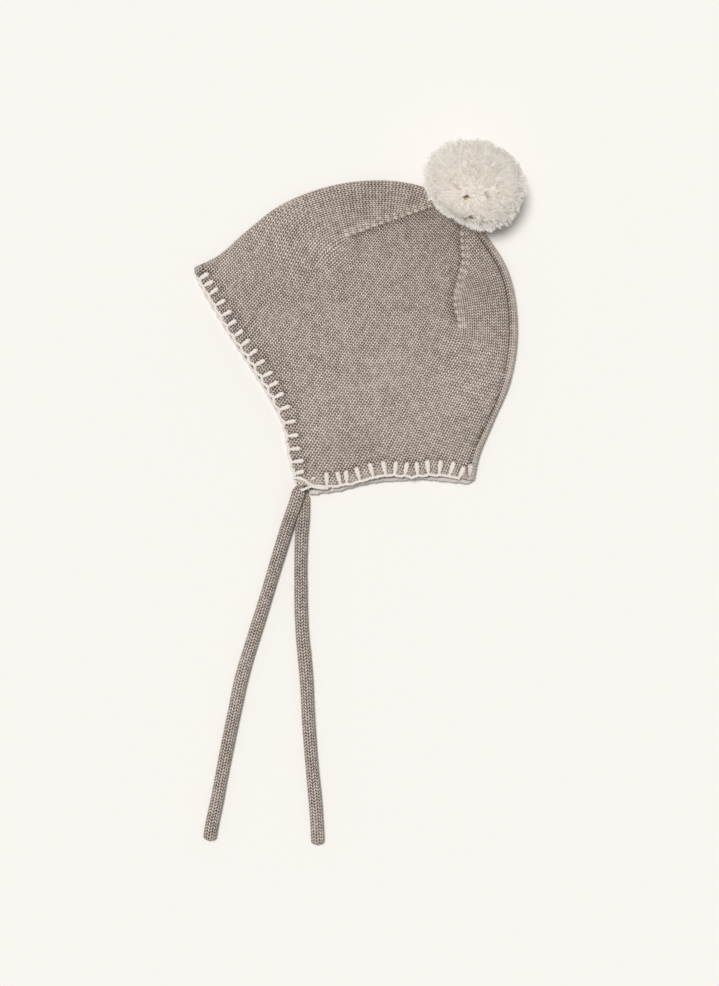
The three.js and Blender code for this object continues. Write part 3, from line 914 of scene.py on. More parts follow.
def upper_points(loop):
    """Mesh points that keep their place in each stitch, panel by panel."""
    middle = middle_places(stitch_grid(*MIDDLE_RANGE))
    front = front_panel.places(stitch_grid(*FRONT_RANGE))
    back = back_panel.places(stitch_grid(*BACK_RANGE))
    chosen = []
    low, high = loop.min(0), loop.max(0)
    for places, wanted in ((middle, 0), (front, 1), (back, 2)):
        places = places[((places > low) & (places < high)).all(1)]
        in_front = front_panel.share(places) > 0.5
        in_back = back_panel.share(places) > 0.5
        panel = np.where(in_front, 1, np.where(in_back, 2, 0))
        chosen.append(kept(places[panel == wanted], loop, FINE_MARGIN))
    return np.vstack(chosen)


def lower_points(loop):
    """Close rows of points around the fold, and an open grid over the rest."""
    rows = []
    distance = LOWER_RIM + RIM_SPACING
    while distance < ROLL_SHOWN:
        arcs = np.arange(0.5, fold_line.length, ROLL_ALONG)
        point, _, left = fold_line.at(arcs)
        rows.append(point - left * distance)
        distance += ROLL_ACROSS
    flat = grid(loop.min(0), loop.max(0), (FLAT_SPACING, FLAT_SPACING))
    flat = flat[fold_line.near(flat)[0] > ROLL_SHOWN + 0.5]
    return np.vstack([kept(np.vstack(rows), loop, FINE_MARGIN), kept(flat, loop, 1.0)])


def coarse_inside(loop, spacing):
    return kept(grid(loop.min(0), loop.max(0), (spacing, spacing)), loop, 1.5)


MARK_STEP = 4.4                 # distance between two decreases along their line
MARK_SLANT = 0.5                # how far they lean towards it
MARK_ROWS = ((1.5, 1.0), (4.2, 0.6))    # distance of each row from the line, and its strength
MARK_ENDS = (1.5, 8)            # free of marks at the line's start and at its end
MARK_LENGTH, MARK_WIDTH = 1.5, 0.9


def decrease_marks(places):
    """The large leaning stitches, one every few rows, beside the lines of decreases."""
    total = np.zeros(len(places))
    for panel, side in ((front_panel, -1), (back_panel, 1)):
        for arc in np.arange(MARK_ENDS[0], panel.decreases.length - MARK_ENDS[1], MARK_STEP):
            point, along, left = panel.decreases.at(arc)
            slant = unit(along + MARK_SLANT * side * left)
            across = np.array([-slant[1], slant[0]])
            for offset, strength in MARK_ROWS:
                gap = places - (point[:2] - side * left * offset)
                along_mark, across_mark = gap @ slant / MARK_LENGTH, gap @ across / MARK_WIDTH
                total += strength * bell(along_mark) * bell(across_mark)
    return np.minimum(total, 1)


def line_shade(places, width):
    """1 along the lines of decreases, falling off to both sides."""
    total = np.zeros(len(places))
    for panel in (front_panel, back_panel):
        distance, arc = panel.decreases.near(places)
        total += smoothstep(arc, 0.5, 6) * bell(distance / width)
    return total


EQUATOR_COUNT = int(fold_line.length / RIM_SPACING)
EQUATOR_INWARD = np.column_stack([
    -fold_line.at(np.linspace(0, fold_line.length, EQUATOR_COUNT))[2], np.zeros(EQUATOR_COUNT)])


class Layer:
    """One layer of the hat, which meets the other one along the fold's outermost line."""

    def __init__(self, rim, face, neck, surface, up):
        self.loop = rim_loop(rim, EQUATOR_COUNT, face, neck)
        self.surface, self.up = surface, up

    def sheet(self, interior):
        """Unrolled places, points, outward faces and normals of the layer's outer side."""
        places, faces = triangulate(self.loop, interior)
        points = self.surface(places)
        normals = vertex_normals(points, faces) * self.up
        normals[:EQUATOR_COUNT] = -EQUATOR_INWARD
        return places, points, faces[:, ::self.up], normals


RIM_BULGE = 0.25                # how far the cut edge is rounded outwards
FACE_SIDE, PURL_SIDE = 0, 1     # places of the two materials in the hat's list


class Fabric:
    """Collects the hat's points and faces. Sheets that share the equator are joined there."""

    def __init__(self):
        self.points, self.places, self.faces, self.slots, self.knit = [], [], [], [], []
        self.count = 0

    def add(self, places, points, equator=None):
        """Adds a sheet's points and gives the number of each in the whole fabric."""
        shared = 0 if equator is None else EQUATOR_COUNT
        numbers = np.arange(len(points)) - shared + self.count
        if shared:
            numbers[:shared] = equator
        self.points.append(points[shared:])
        self.places.append(places[shared:])
        self.count += len(points) - shared
        return numbers

    def put(self, faces, slot, knit):
        self.faces.append(faces)
        self.slots.append(np.full(len(faces), slot))
        self.knit.append(knit)

    def add_inner(self, layer, spacing, relief, equator=None):
        """Adds a layer's inner side, and gives its points and their numbers."""
        places, points, faces, normals = layer.sheet(coarse_inside(layer.loop, spacing))
        points = points - normals * WALL
        points[:, 2] += relief * edge_relief(places)
        numbers = self.add(places, points, equator)
        faces = faces[:, ::-1]
        self.put(numbers[faces], PURL_SIDE, middle_knit(places[faces].reshape(-1, 2)))
        return points, numbers

    def close_edge(self, outer, inner, loop, outer_numbers, inner_numbers):
        """Joins both sides along the cut edge, with two rows of points that round it outwards."""
        ring = np.arange(EQUATOR_COUNT - 1, len(loop) + 1) % len(loop)
        ahead = np.roll(loop, -1, 0) - np.roll(loop, 1, 0)
        outward = unit(np.column_stack([-ahead[:, 1], ahead[:, 0]]))[ring]
        outward = np.column_stack([outward, np.zeros(len(ring))]) * RIM_BULGE
        outward[[0, -1]] = 0
        rows = [outer_numbers[ring]]
        for share in (0.3, 0.7):
            points = lerp(outer[ring], inner[ring], share) + outward
            rows.append(self.add(points[:, :2], points))
        rows.append(inner_numbers[ring])
        places = np.vstack(self.places)
        for above, below in zip(rows, rows[1:]):
            quads = np.column_stack([above[:-1], above[1:], below[1:], below[:-1]])
            faces = np.vstack([quads[:, [2, 1, 0]], quads[:, [3, 2, 0]]])
            self.put(faces, FACE_SIDE, middle_knit(places[faces].reshape(-1, 2)))


HIDDEN_SHADE = -0.05            # painted shade: the lower layer and the insides are a little darker
MARK_HEIGHT, MARK_SHADE = 0.6, 0.42     # the decrease marks stand out, and are painted lighter as a painted highlight
LINE_SHADE, LINE_WIDTH = 0.12, 0.9      # painted shade along their line, close to it
BESIDE_SHADE, BESIDE_WIDTH = 0.1, 4.0   # and a little painted shade further out


def upper_outside(layer):
    """The upper layer's outer side with its stitches: places, points, faces, shade and calm."""
    places, points, faces, normals = layer.sheet(upper_points(layer.loop))
    marks = decrease_marks(places)
    knit = upper_knit(places, upper_zones(places))
    relief = STITCH_RELIEF * (stitch_height(knit) - 0.7) * (1 - 0.5 * marks) + MARK_HEIGHT * marks
    points = points + normals * relief[:, None]
    points[:, 2] += edge_relief(places)
    shade = upper_shade(places) + MARK_SHADE * marks
    shade = shade - LINE_SHADE * line_shade(places, LINE_WIDTH)
    shade = shade - BESIDE_SHADE * line_shade(places, BESIDE_WIDTH)
    return places, points, faces, shade, np.maximum(upper_calm(places), 0.5 * marks)


def knitted_shell():
    """The whole hat as one closed fabric: both layers, the fold between them, the cut edges."""
    upper = Layer(UPPER_RIM, upper_face, upper_neck, upper_surface, 1)
    lower = Layer(LOWER_RIM, lower_face, lower_neck, lower_surface, -1)
    fabric = Fabric()

    places, upper_outer, faces, shade, calm = upper_outside(upper)
    up_out = fabric.add(places, upper_outer)
    zone = np.repeat(upper_zones(places[faces].mean(1)), 3)
    fabric.put(up_out[faces], FACE_SIDE, upper_knit(places[faces].reshape(-1, 2), zone))

    upper_inner, up_in = fabric.add_inner(upper, 4.0, 0.5)

    places, points, faces, normals = lower.sheet(lower_points(lower.loop))
    knit = lower_knit(places)
    lower_outer = points + normals * (STITCH_RELIEF * (stitch_height(knit) - 1))[:, None]
    low_out = fabric.add(places, lower_outer, up_out[:EQUATOR_COUNT])
    fabric.put(low_out[faces], FACE_SIDE, lower_knit(places[faces].reshape(-1, 2)))

    lower_inner, low_in = fabric.add_inner(lower, 5.0, 0.0, up_in[:EQUATOR_COUNT])

    fabric.close_edge(upper_outer, upper_inner, upper.loop, up_out, up_in)
    fabric.close_edge(lower_inner, lower_outer, lower.loop, low_in, low_out)
    tone = np.full(fabric.count, HIDDEN_SHADE)
    tone[:len(shade)] = shade
    quiet = np.zeros(fabric.count)
    quiet[:len(calm)] = calm
    return make_piece(
        "hat_knit", corner_pull(np.vstack(fabric.points)), [np.vstack(fabric.faces)],
        [wool, purl_wool], np.concatenate(fabric.slots), np.vstack(fabric.knit),
        {"shade": tone, "calm": quiet},
    )


# ---- Sweeping sections along paths ----

def path_frames(path):
    """Direction, sideways and upwards at each point of a path that never turns straight up."""
    along = unit(np.gradient(path, axis=0))
    sideways = unit(np.cross(along, (0, 0, 1)))
    return along, sideways, np.cross(sideways, along)


def tube_corners(rings, sides):
    """Side and ring of the four corners of each quad, ring by ring along a tube."""
    side = np.arange(sides)[None, :, None] + (0, 1, 1, 0)
    ring = np.arange(rings - 1)[:, None, None] + (0, 0, 1, 1)
    return np.broadcast_arrays(side, ring)


def tube_faces(rings, sides):
    side, ring = tube_corners(rings, sides)
    return (ring * sides + side % sides).reshape(-1, 4)


def cap_faces(rings, sides):
    """Triangles over both ends of tube_faces, to the two points that follow the rings."""
    side = np.arange(sides)
    after = (side + 1) % sides
    last = (rings - 1) * sides
    start, end = np.full(sides, rings * sides), np.full(sides, rings * sides + 1)
    return np.vstack([
        np.column_stack([after, side, start]), np.column_stack([last + side, last + after, end]),
    ])


def swept(path, angle, wide, high, flat=1.0):
    """A ring of points round each point of the path: wide to its sides, high above and below."""
    _, sideways, upwards = path_frames(path)
    return (
        path[:, None]
        + sideways[:, None] * (np.sin(angle) * wide)[..., None]
        + upwards[:, None] * (np.cos(angle) * high * flat)[..., None]
    )


def tube_knit(rings, sides, around, along):
    """Corner coordinates for tube_faces: around in turns of the section, along per ring."""
    side, ring = tube_corners(rings, sides)
    return np.stack([side * around / sides, along[ring]], -1).reshape(-1, 2)


TIE_WALES = 7                   # stitches round the tie
TIE_COURSE = 1.85               # height of a row
TIE_SIDES = TIE_WALES * 6       # mesh points round it
TIE_RELIEF = 0.42
TIE_ROUND = 2.6                 # length of its rounded end
TIE_NARROW = (0.66, 4.5)        # its width where it starts, and over what length it widens
TIE_THIN = (0.34, 7)            # the same for its height


def grown(arcs, start):
    share, length = start
    return lerp(share, 1, smoothstep(arcs, 0, length))


def tie_size(arcs, seed):
    """The tie's width and thickness along it, as shares of the full ones."""
    close = np.sqrt(1 - (1 - np.clip((arcs[-1] - arcs) / TIE_ROUND, 0.02, 1)) ** 2)
    wander = np.sin(arcs / 17 + seed) * 0.02 + np.sin(arcs / 6.3 + 2 * seed) * 0.012 + 1
    return grown(arcs, TIE_NARROW) * close * wander, grown(arcs, TIE_THIN) * close


def knitted_tie(name, root, route, node, seed):
    """A knitted cord that grows from the flap's tip, with wales along it and a rounded end."""
    dense = smooth_line([root] + route)
    run = run_along(dense)
    length = run[-1]
    rings = int(length / TIE_COURSE) * 3 + 1
    arcs = np.linspace(0, length, rings)
    path = np.stack([np.interp(arcs, run, column) for column in dense.T], 1)
    width, thickness = tie_size(arcs, seed)
    angle = 2 * math.pi * (np.arange(TIE_SIDES) + 0.5) / TIE_SIDES
    wale = np.arange(TIE_SIDES) * TIE_WALES / TIE_SIDES
    course = -arcs / TIE_COURSE
    knit = np.stack(np.meshgrid(wale, course), -1).reshape(-1, 2)
    height = (stitch_height(knit).reshape(rings, TIE_SIDES) - 1) * TIE_RELIEF
    half_width = 0.5 * TIE_WIDTH * width[:, None] + height
    half_height = 0.5 * TIE_HEIGHT * thickness[:, None] + height
    points = swept(path, angle, half_width, half_height)
    points[..., 2] = np.maximum(points[..., 2], 0.05)
    knit_uv = tube_knit(rings, TIE_SIDES, TIE_WALES, course)
    points = np.vstack([points.reshape(-1, 3), path[:1], path[-1:]])
    caps = cap_faces(rings, TIE_SIDES)
    cap_uv = np.zeros((caps.size, 2))
    tie = make_piece(
        name, points, [tube_faces(rings, TIE_SIDES), caps], [tie_wool], None,
        np.vstack([knit_uv, cap_uv]), {"shade": np.zeros(len(points))},
    )
    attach(tie, "root")
    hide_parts(node)


# ---- Edging ----

EDGE_SIDES = 8
PLY_RELIEF = 0.13               # share of its radius by which the two plies stand out
ROUND_END = 0.4                 # how far a yarn's end bulges, in radii


def spun_tube(path, radius, flat, twist):
    """Points, faces and coordinates of a two-ply yarn along a path, with its ends closed."""
    path = np.asarray(path, float)
    rings = len(path)
    along = path_frames(path)[0]
    run = run_along(path)
    angle = 2 * math.pi * np.arange(EDGE_SIDES) / EDGE_SIDES
    ply = 1 + PLY_RELIEF * np.cos(2 * (angle[None, :] - run[:, None] * twist * 2 * math.pi))
    size = np.broadcast_to(np.asarray(radius, float), (rings,))[:, None] * ply
    points = np.vstack([
        swept(path, angle, size, size, flat).reshape(-1, 3),
        path[:1] - along[:1] * size[0].mean() * ROUND_END,
        path[-1:] + along[-1:] * size[-1].mean() * ROUND_END,
    ])
    caps = cap_faces(rings, EDGE_SIDES)
    cap_uv = np.column_stack([np.zeros(caps.size), np.full(caps.size, run[-1])])
    uv = tube_knit(rings, EDGE_SIDES, 2.0, run)
    return points, tube_faces(rings, EDGE_SIDES), caps, uv, cap_uv


def joined(name, tubes, shades):
    """One object of many yarns, each with its own shade."""
    points, faces, caps, uv, cap_uv = zip(*tubes)
    starts = np.cumsum([0] + [len(p) for p in points[:-1]])
    quads, tris = (
        np.vstack([own + start for own, start in zip(kind, starts)]) for kind in (faces, caps)
    )
    point_shades = [np.full(len(p), shade) for p, shade in zip(points, shades)]
    return make_piece(
        name, corner_pull(np.vstack(points)), [quads, tris], [yarn], None, np.vstack(uv + cap_uv),
        {"shade": np.concatenate(point_shades)},
    )


def on_top(place, above):
    """A point over the upper layer at a place in plan."""
    place = np.atleast_2d(place)
    height = upper_height(place) + edge_relief(place)
    return np.column_stack([place, height + above])[0]


STITCH_SHAPE = 0.42             # a stitch's thickness at its thread end, against its fat end
STITCH_FOOT = ((0.3, 1.0), (0.15, 0.1))     # outside the edge: how far out, how far below it
# Along the stitch: the share of its length, the height over the fabric.
STITCH_WAY = ((0.1, 0.8), (0.3, 0.8), (0.5, 0.8), (0.7, 0.8), (0.88, 0.8), (1.0, 0.0))
STITCH_DIVE = (0.4, -1.2)       # past its end, into the fabric


def blanket_stitch(stitch):
    """From under the edge thread, over the cut edge, and inwards to where it dives in."""
    foot, inward = stitch.foot, stitch.inward
    edge_height = float(upper_height(foot[None])[0])
    path = [(*(foot - inward * out), edge_height - below) for out, below in STITCH_FOOT]
    for share, above in STITCH_WAY:
        path.append(tuple(on_top(foot + inward * stitch.length * share, above)))
    end = foot + inward * stitch.length
    path.append(tuple(on_top(end + inward * STITCH_DIVE[0], STITCH_DIVE[1])))
    smooth = smooth_line(path, 4)
    share = np.linspace(0, 1, len(smooth))
    fat = STITCH_SHAPE + (1 - STITCH_SHAPE) * smoothstep(share, 0.08, 0.55)
    radius = 0.5 * stitch.yarn * fat * np.clip((1.04 - share) / 0.25, 0.35, 1)
    return spun_tube(smooth, radius, 0.7, 0.2)


LOWER_STITCHES = {"first": 4, "apart": 7.2}     # where the hidden ones draw the lower yarn in
THREAD_STEP = 0.8               # between points along an edge's yarn


def edge_thread(line, stitches, start, end, height, reach, radius, seed, flat=1.0):
    """The yarn along a cut edge, drawn in at each stitch and slack between them."""
    arcs = np.arange(start, end, THREAD_STEP)
    point, _, left = line.at(arcs)
    marks = np.arange(LOWER_STITCHES["first"], end, LOWER_STITCHES["apart"])
    if stitches:
        marks = np.array([s.arc for s in stitches])
    gap = np.abs(arcs[:, None] - marks).min(1)
    slack = smoothstep(gap, 0.0, 3.4)
    wander = 0.24 * np.sin(arcs * 0.83 + seed) + 0.16 * np.sin(arcs * 2.1 + 2 * seed)
    out = reach[0] + (reach[1] - reach[0]) * slack + wander
    plan = point[:, :2] - left * out[:, None]
    height = height + point[:, 2] + 0.3 * (1 - slack) + 0.15 * np.sin(arcs * 1.7 + seed)
    path = np.column_stack([plan, np.maximum(height, 1.05 * radius * flat)])
    return spun_tube(path, radius, flat, 0.3)


UPPER_THREAD = 1.65 * WALL      # height of the upper edges' yarn over the free height there
UPPER_THREAD_TONE = 0.05
# painted shade on the stitch that lies on the strip past the seam
STRIP_STITCH_SHADE = -0.25
LOWER_YARN_SHADES = (0.12, -0.3, -0.34)   # painted light on the face thread, painted shadow under the upper layer's edge on the neck thread and its turn at the nape
NAPE_YARN = [(99.5, -60.0, 3.0), (102.2, -59.0, 2.9), (104.3, -57.6, 2.8), (104.9, -54.6, 2.7)]


def edging():
    """The cream yarn: blanket stitches and edge threads of both layers."""
    upper = [blanket_stitch(s) for s in face_stitches + neck_stitches]
    upper_shades = [0.0] * (len(upper) - 1) + [STRIP_STITCH_SHADE]
    upper += [
        edge_thread(
            upper_face, face_stitches, start=0, end=142, height=UPPER_THREAD, reach=(-0.1, 0.95),
            radius=0.95, seed=0.3),
        edge_thread(
            upper_neck, neck_stitches, start=9, end=98.5, height=UPPER_THREAD, reach=(0.5, 0.9),
            radius=0.88, seed=1.1),
    ]
    upper += tip_yarn()
    upper_shades += [UPPER_THREAD_TONE] * (len(upper) - len(upper_shades))
    lower = [
        edge_thread(
            lower_face, None, start=0, end=lower_face.length - 3, height=1.3, reach=(0.3, 0.8),
            radius=1.0, seed=2.1),
        edge_thread(
            lower_neck, None, start=5, end=lower_neck.length, height=3.0, reach=(-0.2, 0.1),
            radius=1.65, seed=0.7, flat=0.75),
        spun_tube(smooth_line(NAPE_YARN, 6), 1.3, 0.75, 0.3),
    ]
    top = joined("edging_upper", upper, upper_shades)
    bottom = joined("edging_lower", lower, LOWER_YARN_SHADES)
    for piece, nodes in (
        (top, ("edge_yarn_face_upper", "edge_yarn_neck_upper")),
        (bottom, ("edge_yarn_face_lower", "edge_yarn_neck_lower")),
    ):
        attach(piece, "root")
        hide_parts(*nodes)


# Each loop's places and its radius, and the small knot's places with their height.
TIP_LOOPS = [
    ([(16.2, -116.6), (18.2, -115.0), (20.6, -114.0), (23.0, -113.5), (25.6, -113.8),
      (28.6, -113.2), (32.0, -111.4), (35.8, -109.2)], 0.95),
    ([(27.6, -114.6), (26.4, -116.4), (25.3, -118.4), (24.2, -119.9)], 0.8),
    ([(27.2, -114.4), (30.2, -113.3), (33.6, -111.6), (36.8, -109.4)], 0.9),
]
TIP_KNOT = [
    ((25.6, -110.5), -0.4), ((26.0, -109.9), 0.7), ((26.5, -109.3), 0.7), ((26.9, -108.8), -0.4),
]


def tip_yarn():
    """The yarn's loops at the flap's tip, where both edges meet and the tie begins."""
    tubes = []
    for places, radius in TIP_LOOPS:
        path = [tuple(on_top(np.array(place), 0.45)) for place in places]
        tubes.append(spun_tube(smooth_line(path, 5), radius, 0.8, 0.25))
    knot = [tuple(on_top(np.array(place), height)) for place, height in TIP_KNOT]
    tubes.append(spun_tube(smooth_line(knot, 4), 0.8, 0.9, 0.25))
    return tubes


# ---- The pompom ----

POMPOM_MIDDLE = np.array([5.3, 87.0, 26.5])
POMPOM_SIZE = np.array([30.5, 27.5, 27.0])  # half its length, its breadth and its height
POMPOM_TURN = math.radians(35)              # of its length, from x
POMPOM_AXES = np.array([
    [math.cos(POMPOM_TURN), math.sin(POMPOM_TURN), 0],
    [-math.sin(POMPOM_TURN), math.cos(POMPOM_TURN), 0],
    [0, 0, 1],
])
# Where the ball is fuller or flatter: a direction in plan, in degrees, the amount, the spread.
POMPOM_FORM = [
    (180, 0.08, 25), (-28, 0.06, 20), (90, -0.04, 22), (-78, -0.05, 16), (-93, -0.16, 36),
]
# Partings in the yarn, seen from above: both ends measured from the middle, depth and width.
PARTINGS = [
    (0.6, -10.6, 0.4, -12.8, 2.8, 1.0), (0.6, -10.8, 3.4, -10.0, 1.8, 0.7),
    (0.4, -11.2, -1.8, -12.8, 1.6, 0.6), (9.4, -2.0, 12.6, -3.4, 2.4, 1.2),
    (-15.1, -8.4, -5.5, -9.8, 1.9, 0.9), (-8.2, 7.3, -2.1, 6.5, 1.8, 1.0),
    (3.4, 12.6, 5.4, 8.4, 1.3, 0.8), (12.2, 6.4, 13.4, 4.6, 1.6, 1.0),
    (15.8, -14.6, 20.6, -19.0, 1.4, 0.9), (8.0, -24.0, 10.6, -18.6, 3.2, 1.6),
    (-2.0, -14.0, -3.4, -19.0, 1.2, 0.8), (18.6, 4.0, 24.0, 6.6, 1.1, 0.9),
]
STRANDS = 9000
STRAND_SECTION = np.array([(-1.2, -0.2), (0, 0.4), (1.2, -0.2)])   # flat, with a low ridge
STRAND_RADIUS = (0.22, 0.22, 0.09)      # at its root, middle and tip
STRAND_POINTS = 9               # three rings of three
WISP_RADIUS = (0.14, 0.11, 0.05)        # the same for a wisp
WISP_SHARE = 0.2                # strands that stand out as a fine fuzz
# Shares of the ball's radius: where the ends are rooted, the core, and how much less both
# reach round the ball's side.
STRAND_ROOT, ROOT_LESS = 0.972, 0.04
CORE, CORE_LESS = 0.985, 0.045
CLUMPS = 900
CLUMP_HEIGHT = 0.008            # how much a clump may be longer or shorter
GATHER = (0.15, 0.40)           # how far the ends lean together: on top, and more at the side
STRAY = 0.035                   # how far each end strays by itself
FAN = 0.08                      # how far the yarn ends fan away from the main parting
TUFT = 6.0                      # how much more uneven the ends are round the ball's side
TIP_PLACES = (0.3, 0.6, 0.8)    # tone at a strand's root, middle and tip: the root's is painted shade
LOWER_DENSITY = 0.85            # share of the strands that is kept on the lower half


def spread(count):
    """Directions spread evenly over a ball."""
    i = np.arange(count)
    z = 1 - (2 * i + 1) / count
    ring = np.sqrt(1 - z * z)
    turn = i * math.pi * (3 - math.sqrt(5))
    return np.column_stack([ring * np.cos(turn), ring * np.sin(turn), z])


def lumps(directions, seed, count, size, sharp):
    """A smooth random field over the ball, from some soft bumps."""
    rng = np.random.default_rng(seed)
    centres = unit(rng.normal(size=(count, 3)))
    signs = rng.uniform(-1, 1, count)
    total = np.zeros(len(directions))
    for centre, sign in zip(centres, signs):
        total += sign * np.exp(sharp * (directions @ centre - 1))
    return size * total


def pompom_reach(directions):
    """The ball's radius in each direction, against that of its plain oval."""
    flat = directions @ POMPOM_AXES
    reach = 1 + lumps(directions, 5, 70, 0.012, 28) + lumps(directions, 8, 420, 0.010, 160)
    for degrees, amount, width in POMPOM_FORM:
        turn = math.radians(degrees)
        towards = flat @ np.array([math.cos(turn), math.sin(turn), 0])
        reach += amount * np.exp((towards - 1) / math.radians(width) ** 2)
    return reach


def placed(local):
    """Points of the ball's own space, brought to their place in the part's frame."""
    return (local * POMPOM_SIZE) @ POMPOM_AXES + POMPOM_MIDDLE


def lift(directions):
    """How much the yarn's normals turn upwards: most on the ball's top, and not underneath."""
    return 4 * smoothstep(directions[:, 2], -0.3, 0.9)


def rim_share(directions):
    """1 round the ball's side, which is its outline from above, and 0 on top and underneath."""
    return smoothstep(1 - np.abs(directions[:, 2]), 0.35, 0.85)


def painted_rim_light(directions):
    """Painted light: the yarn is coloured a little lighter towards the ball's side, to lift its
    dimmer side.
    """
    return 0.5 * (1 - np.abs(directions[:, 2]))


def fanned(directions, wisp, side_on, rng):
    """How the ends lean away from the main parting, along the ball's surface."""
    main = np.array([*PARTINGS[0][:2], 0])
    pole = unit(np.array([*((main @ POMPOM_AXES.T)[:2] / POMPOM_SIZE[:2]), 0.92]))
    away = directions - (directions @ pole)[:, None] * pole
    apart = np.arccos(np.clip(directions @ pole, -1, 1))
    tangent = unit(away - (away * directions).sum(1, keepdims=True) * directions)
    fan = np.where(wisp, 0.3, 1) * FAN * smoothstep(apart, 0.02, 0.5) * (1 - 0.9 * side_on)
    return tangent * (fan[:, None] * rng.uniform(0.6, 1.4, (len(directions), 1)))


def strand_mesh(paths, outward, wisp, rng):
    """Flat three-sided strands along the paths: points, quads and the triangles of the tips."""
    along = unit(paths[:, -1] - paths[:, 0])
    side = unit(np.cross(along, outward + 0.15 * rng.normal(size=along.shape)))
    over = np.cross(side, along)
    ring = (side[:, None] * STRAND_SECTION[None, :, :1]
            + over[:, None] * STRAND_SECTION[None, :, 1:])
    thick = np.where(wisp[:, None], WISP_RADIUS, STRAND_RADIUS)
    thick = thick * rng.uniform(0.8, 1.2, len(paths))[:, None]
    points = paths[:, :, None] + ring[:, None] * thick[:, :, None, None]
    starts = np.arange(len(paths))[:, None, None] * STRAND_POINTS
    quads = (starts + tube_faces(3, 3)[None]).reshape(-1, 4)
    caps = starts[:, 0] + np.arange(STRAND_POINTS - 3, STRAND_POINTS)
    return points.reshape(-1, 3), quads, caps


def strands(directions, rng):
    """Cut yarn ends that stand on the ball, clump by clump: their mesh and its tags."""
    count = len(directions)
    clumps = unit(rng.normal(size=(CLUMPS, 3)))
    nearest = (directions @ clumps.T).argmax(1)
    height = rng.uniform(-CLUMP_HEIGHT, CLUMP_HEIGHT, CLUMPS)[nearest]
    wisp = rng.random(count) < WISP_SHARE
    side_on = rim_share(directions)
    fan = fanned(directions, wisp, side_on, rng)
    stray = rng.normal(size=directions.shape) * STRAY
    gather = GATHER[0] + GATHER[1] * side_on
    tip_way = unit(unit(lerp(directions, clumps[nearest], gather[:, None])) + fan + stray)

    plan = ((tip_way * POMPOM_SIZE) @ POMPOM_AXES)[:, :2]
    depth = np.where(tip_way[:, 2] > 0, ridges(plan, PARTINGS), 0) / POMPOM_SIZE[2]
    reach = pompom_reach(tip_way) + height * (1 + TUFT * side_on)
    reach = reach * (rng.uniform(0.992, 1.005, count) + 0.022 * wisp) - depth
    root = directions * ((STRAND_ROOT - ROOT_LESS * side_on) * pompom_reach(directions))[:, None]
    root *= (1 - depth / STRAND_ROOT)[:, None]
    tip = tip_way * reach[:, None]
    middle = lerp(root, tip, 0.55)
    middle *= 1 + 0.012 * rng.uniform(0.5, 1.5, (count, 1))
    paths = np.stack([placed(p) for p in (root, middle, tip)], 1)
    outward = unit(placed(tip_way) - placed(np.zeros((1, 3))))
    mesh = strand_mesh(paths, outward, wisp, rng)

    # Painted shade in the partings, and painted light on the longer clumps and towards the ball's
    # side.
    tone = np.repeat(painted_rim_light(tip_way) - depth * 12 + 12 * height, STRAND_POINTS)
    tags = {
        "tip": np.tile(np.repeat(TIP_PLACES, 3), count) + tone,
        "strand": np.repeat(rng.uniform(0, 1, count), STRAND_POINTS),
        "lift": np.repeat(lift(tip_way), STRAND_POINTS),
    }
    return mesh, tags


def yarn_piece(name, points, faces, tags):
    piece = make_piece(name, pushed_clear(points), faces, [cut_yarn], tags=tags)
    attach(piece, "root")
    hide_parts("pompom")
    return piece


def pompom_core():
    """The close yarn under the cut ends, with its partings."""
    directions, faces = ball(6)
    reach = (CORE - CORE_LESS * rim_share(directions)) * pompom_reach(directions) - 0.02
    core = placed(directions * reach[:, None])
    plan = core[:, :2] - POMPOM_MIDDLE[:2]
    depth = np.where(core[:, 2] > POMPOM_MIDDLE[2], ridges(plan, PARTINGS), 0)
    core += unit(placed(np.zeros((1, 3))) - core) * (1.15 * depth)[:, None]
    # Painted shade in the partings, and painted light towards the ball's side.
    tags = {
        "tip": 0.45 + painted_rim_light(directions) - 0.36 * depth,
        "strand": np.full(len(core), 0.5),
        "lift": lift(directions),
    }
    yarn_piece("pompom_core", core, [faces], tags)


def pompom_ends(name, directions, seed):
    """Cut ends, so fine that light goes round them: they throw no shadow of their own."""
    (points, quads, caps), tags = strands(directions, np.random.default_rng(seed))
    piece = yarn_piece(name, points, [quads, caps], tags)
    piece.visible_shadow = False


def pompom():
    """The yarn ball: its core, and its ends in an upper and a less dense lower half."""
    rng = np.random.default_rng(11)
    directions = spread(STRANDS)
    directions = unit(directions + rng.normal(size=directions.shape) * 0.012)
    upper = directions[:, 2] > 0
    below = directions[~upper]
    pompom_core()
    pompom_ends("pompom_yarn_upper", directions[upper], 21)
    pompom_ends("pompom_yarn_lower", below[rng.random(len(below)) < LOWER_DENSITY], 22)


def ball(levels):
    """A unit icosphere's points and triangles."""
    made = bmesh.new()
    bmesh.ops.create_icosphere(made, subdivisions=levels, radius=1.0)
    points = np.array([v.co for v in made.verts])
    faces = np.array([[v.index for v in f.verts] for f in made.faces])
    made.free()
    return unit(points), faces


CROWN_TOP, CROWN_END = 22, 82   # the crown is lower than this, and ends before this place in y
CROWN_GAP = 0.4


def pushed_clear(points):
    """Keeps the yarn over the floor and parted around the crown."""
    points = points.copy()
    points[:, 2] = np.maximum(points[:, 2], 0.1)
    low = np.flatnonzero((points[:, 2] < CROWN_TOP) & (points[:, 1] < CROWN_END))
    fold = fold_line.near(points[low, :2])[0]
    inside = low[fold > -CROWN_GAP]
    top = np.maximum(upper_height(points[inside, :2]), 2 * FOLD_RADIUS) + CROWN_GAP
    points[inside, 2] = np.maximum(points[inside, 2], top)
    return points


# ---- Camera, light and floor ----

VIEW_CENTRE = (53.8, -101.0, 8.0)
VIEW_DISTANCE = 1643.0
VIEW_ROLL = math.radians(35)
LENS = 100.0


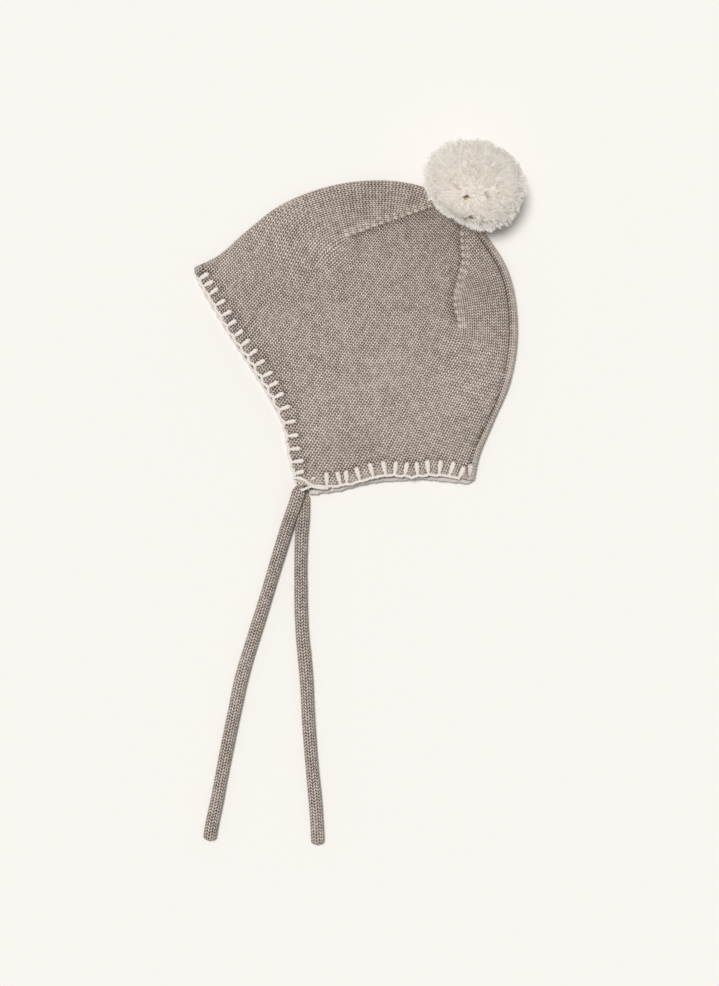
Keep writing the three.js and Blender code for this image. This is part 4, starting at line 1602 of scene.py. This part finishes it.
def camera():
    data = bpy.data.cameras.new("camera")
    data.lens = LENS
    data.sensor_width = 36.0
    made = in_scene("camera", data)
    x, y, z = VIEW_CENTRE
    place = Matrix.Translation(in_part((x, y, z + VIEW_DISTANCE)))
    made.matrix_world = place @ Matrix.Rotation(VIEW_ROLL, 4, "Z")
    bpy.context.scene.camera = made


def sun(name, strength, towards, angle, colour):
    """A soft light; towards is the direction it comes from."""
    data = bpy.data.lights.new(name, "SUN")
    data.energy = strength
    data.angle = math.radians(angle)
    data.color = colour
    made = in_scene(name, data)
    x, y, z = towards
    length = math.sqrt(x * x + y * y + z * z)
    made.rotation_euler = (math.acos(z / length), 0, math.atan2(x, -y))


KEY_TILT = math.tan(math.radians(14))   # the key light's lean from straight above
KEY_TURN = math.radians(174)            # the side that it comes from
KEY_STRENGTH = 2.45
KEY_ANGLE = 16
KEY_COLOUR = (1.0, 0.99, 0.975)
FILL = 0.33
FILL_COLOUR = (0.95, 0.98, 1.0, 1)


def lighting():
    world = bpy.data.worlds.new("studio")
    bpy.context.scene.world = world
    world.use_nodes = True
    background = world.node_tree.nodes["Background"]
    background.inputs["Color"].default_value = FILL_COLOUR
    background.inputs["Strength"].default_value = FILL
    towards = (KEY_TILT * math.cos(KEY_TURN), KEY_TILT * math.sin(KEY_TURN), 1)
    sun("key", KEY_STRENGTH, towards, KEY_ANGLE, KEY_COLOUR)
    view = bpy.context.scene.view_settings
    view.view_transform = "Standard"
    view.look = "None"


FLOOR_DROP = 0.3
FLOOR_REACH = 6000.0


def floor():
    corners = np.array([(-1, -1), (1, -1), (1, 1), (-1, 1)]) * FLOOR_REACH
    points = np.column_stack([corners + VIEW_CENTRE[:2], np.full(4, -FLOOR_DROP)])
    made = make_piece("floor", points, [np.array([[0, 1, 2, 3]])], [floor_paper()])


# ---- Building ----

camera()
wool = knit_wool("knit_wool_face", STITCH_LEAN)
purl_wool = knit_wool("knit_wool_back", 0.0)
tie_wool = knit_wool("knit_wool_tie", 0.85, 0.62, 0.48)
yarn = cream_yarn()
cut_yarn = pompom_yarn()

knitted_tie("tie_upper_knit", TIE_UPPER_ROOT, TIE_UPPER_ROUTE, "tie_upper", 0.4)
knitted_tie("tie_lower_knit", TIE_LOWER_ROOT, TIE_LOWER_ROUTE, "tie_lower", 1.9)

hat = knitted_shell()
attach(hat, "root")
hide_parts("knit_shell")

edging()

pompom()

lighting()
floor()
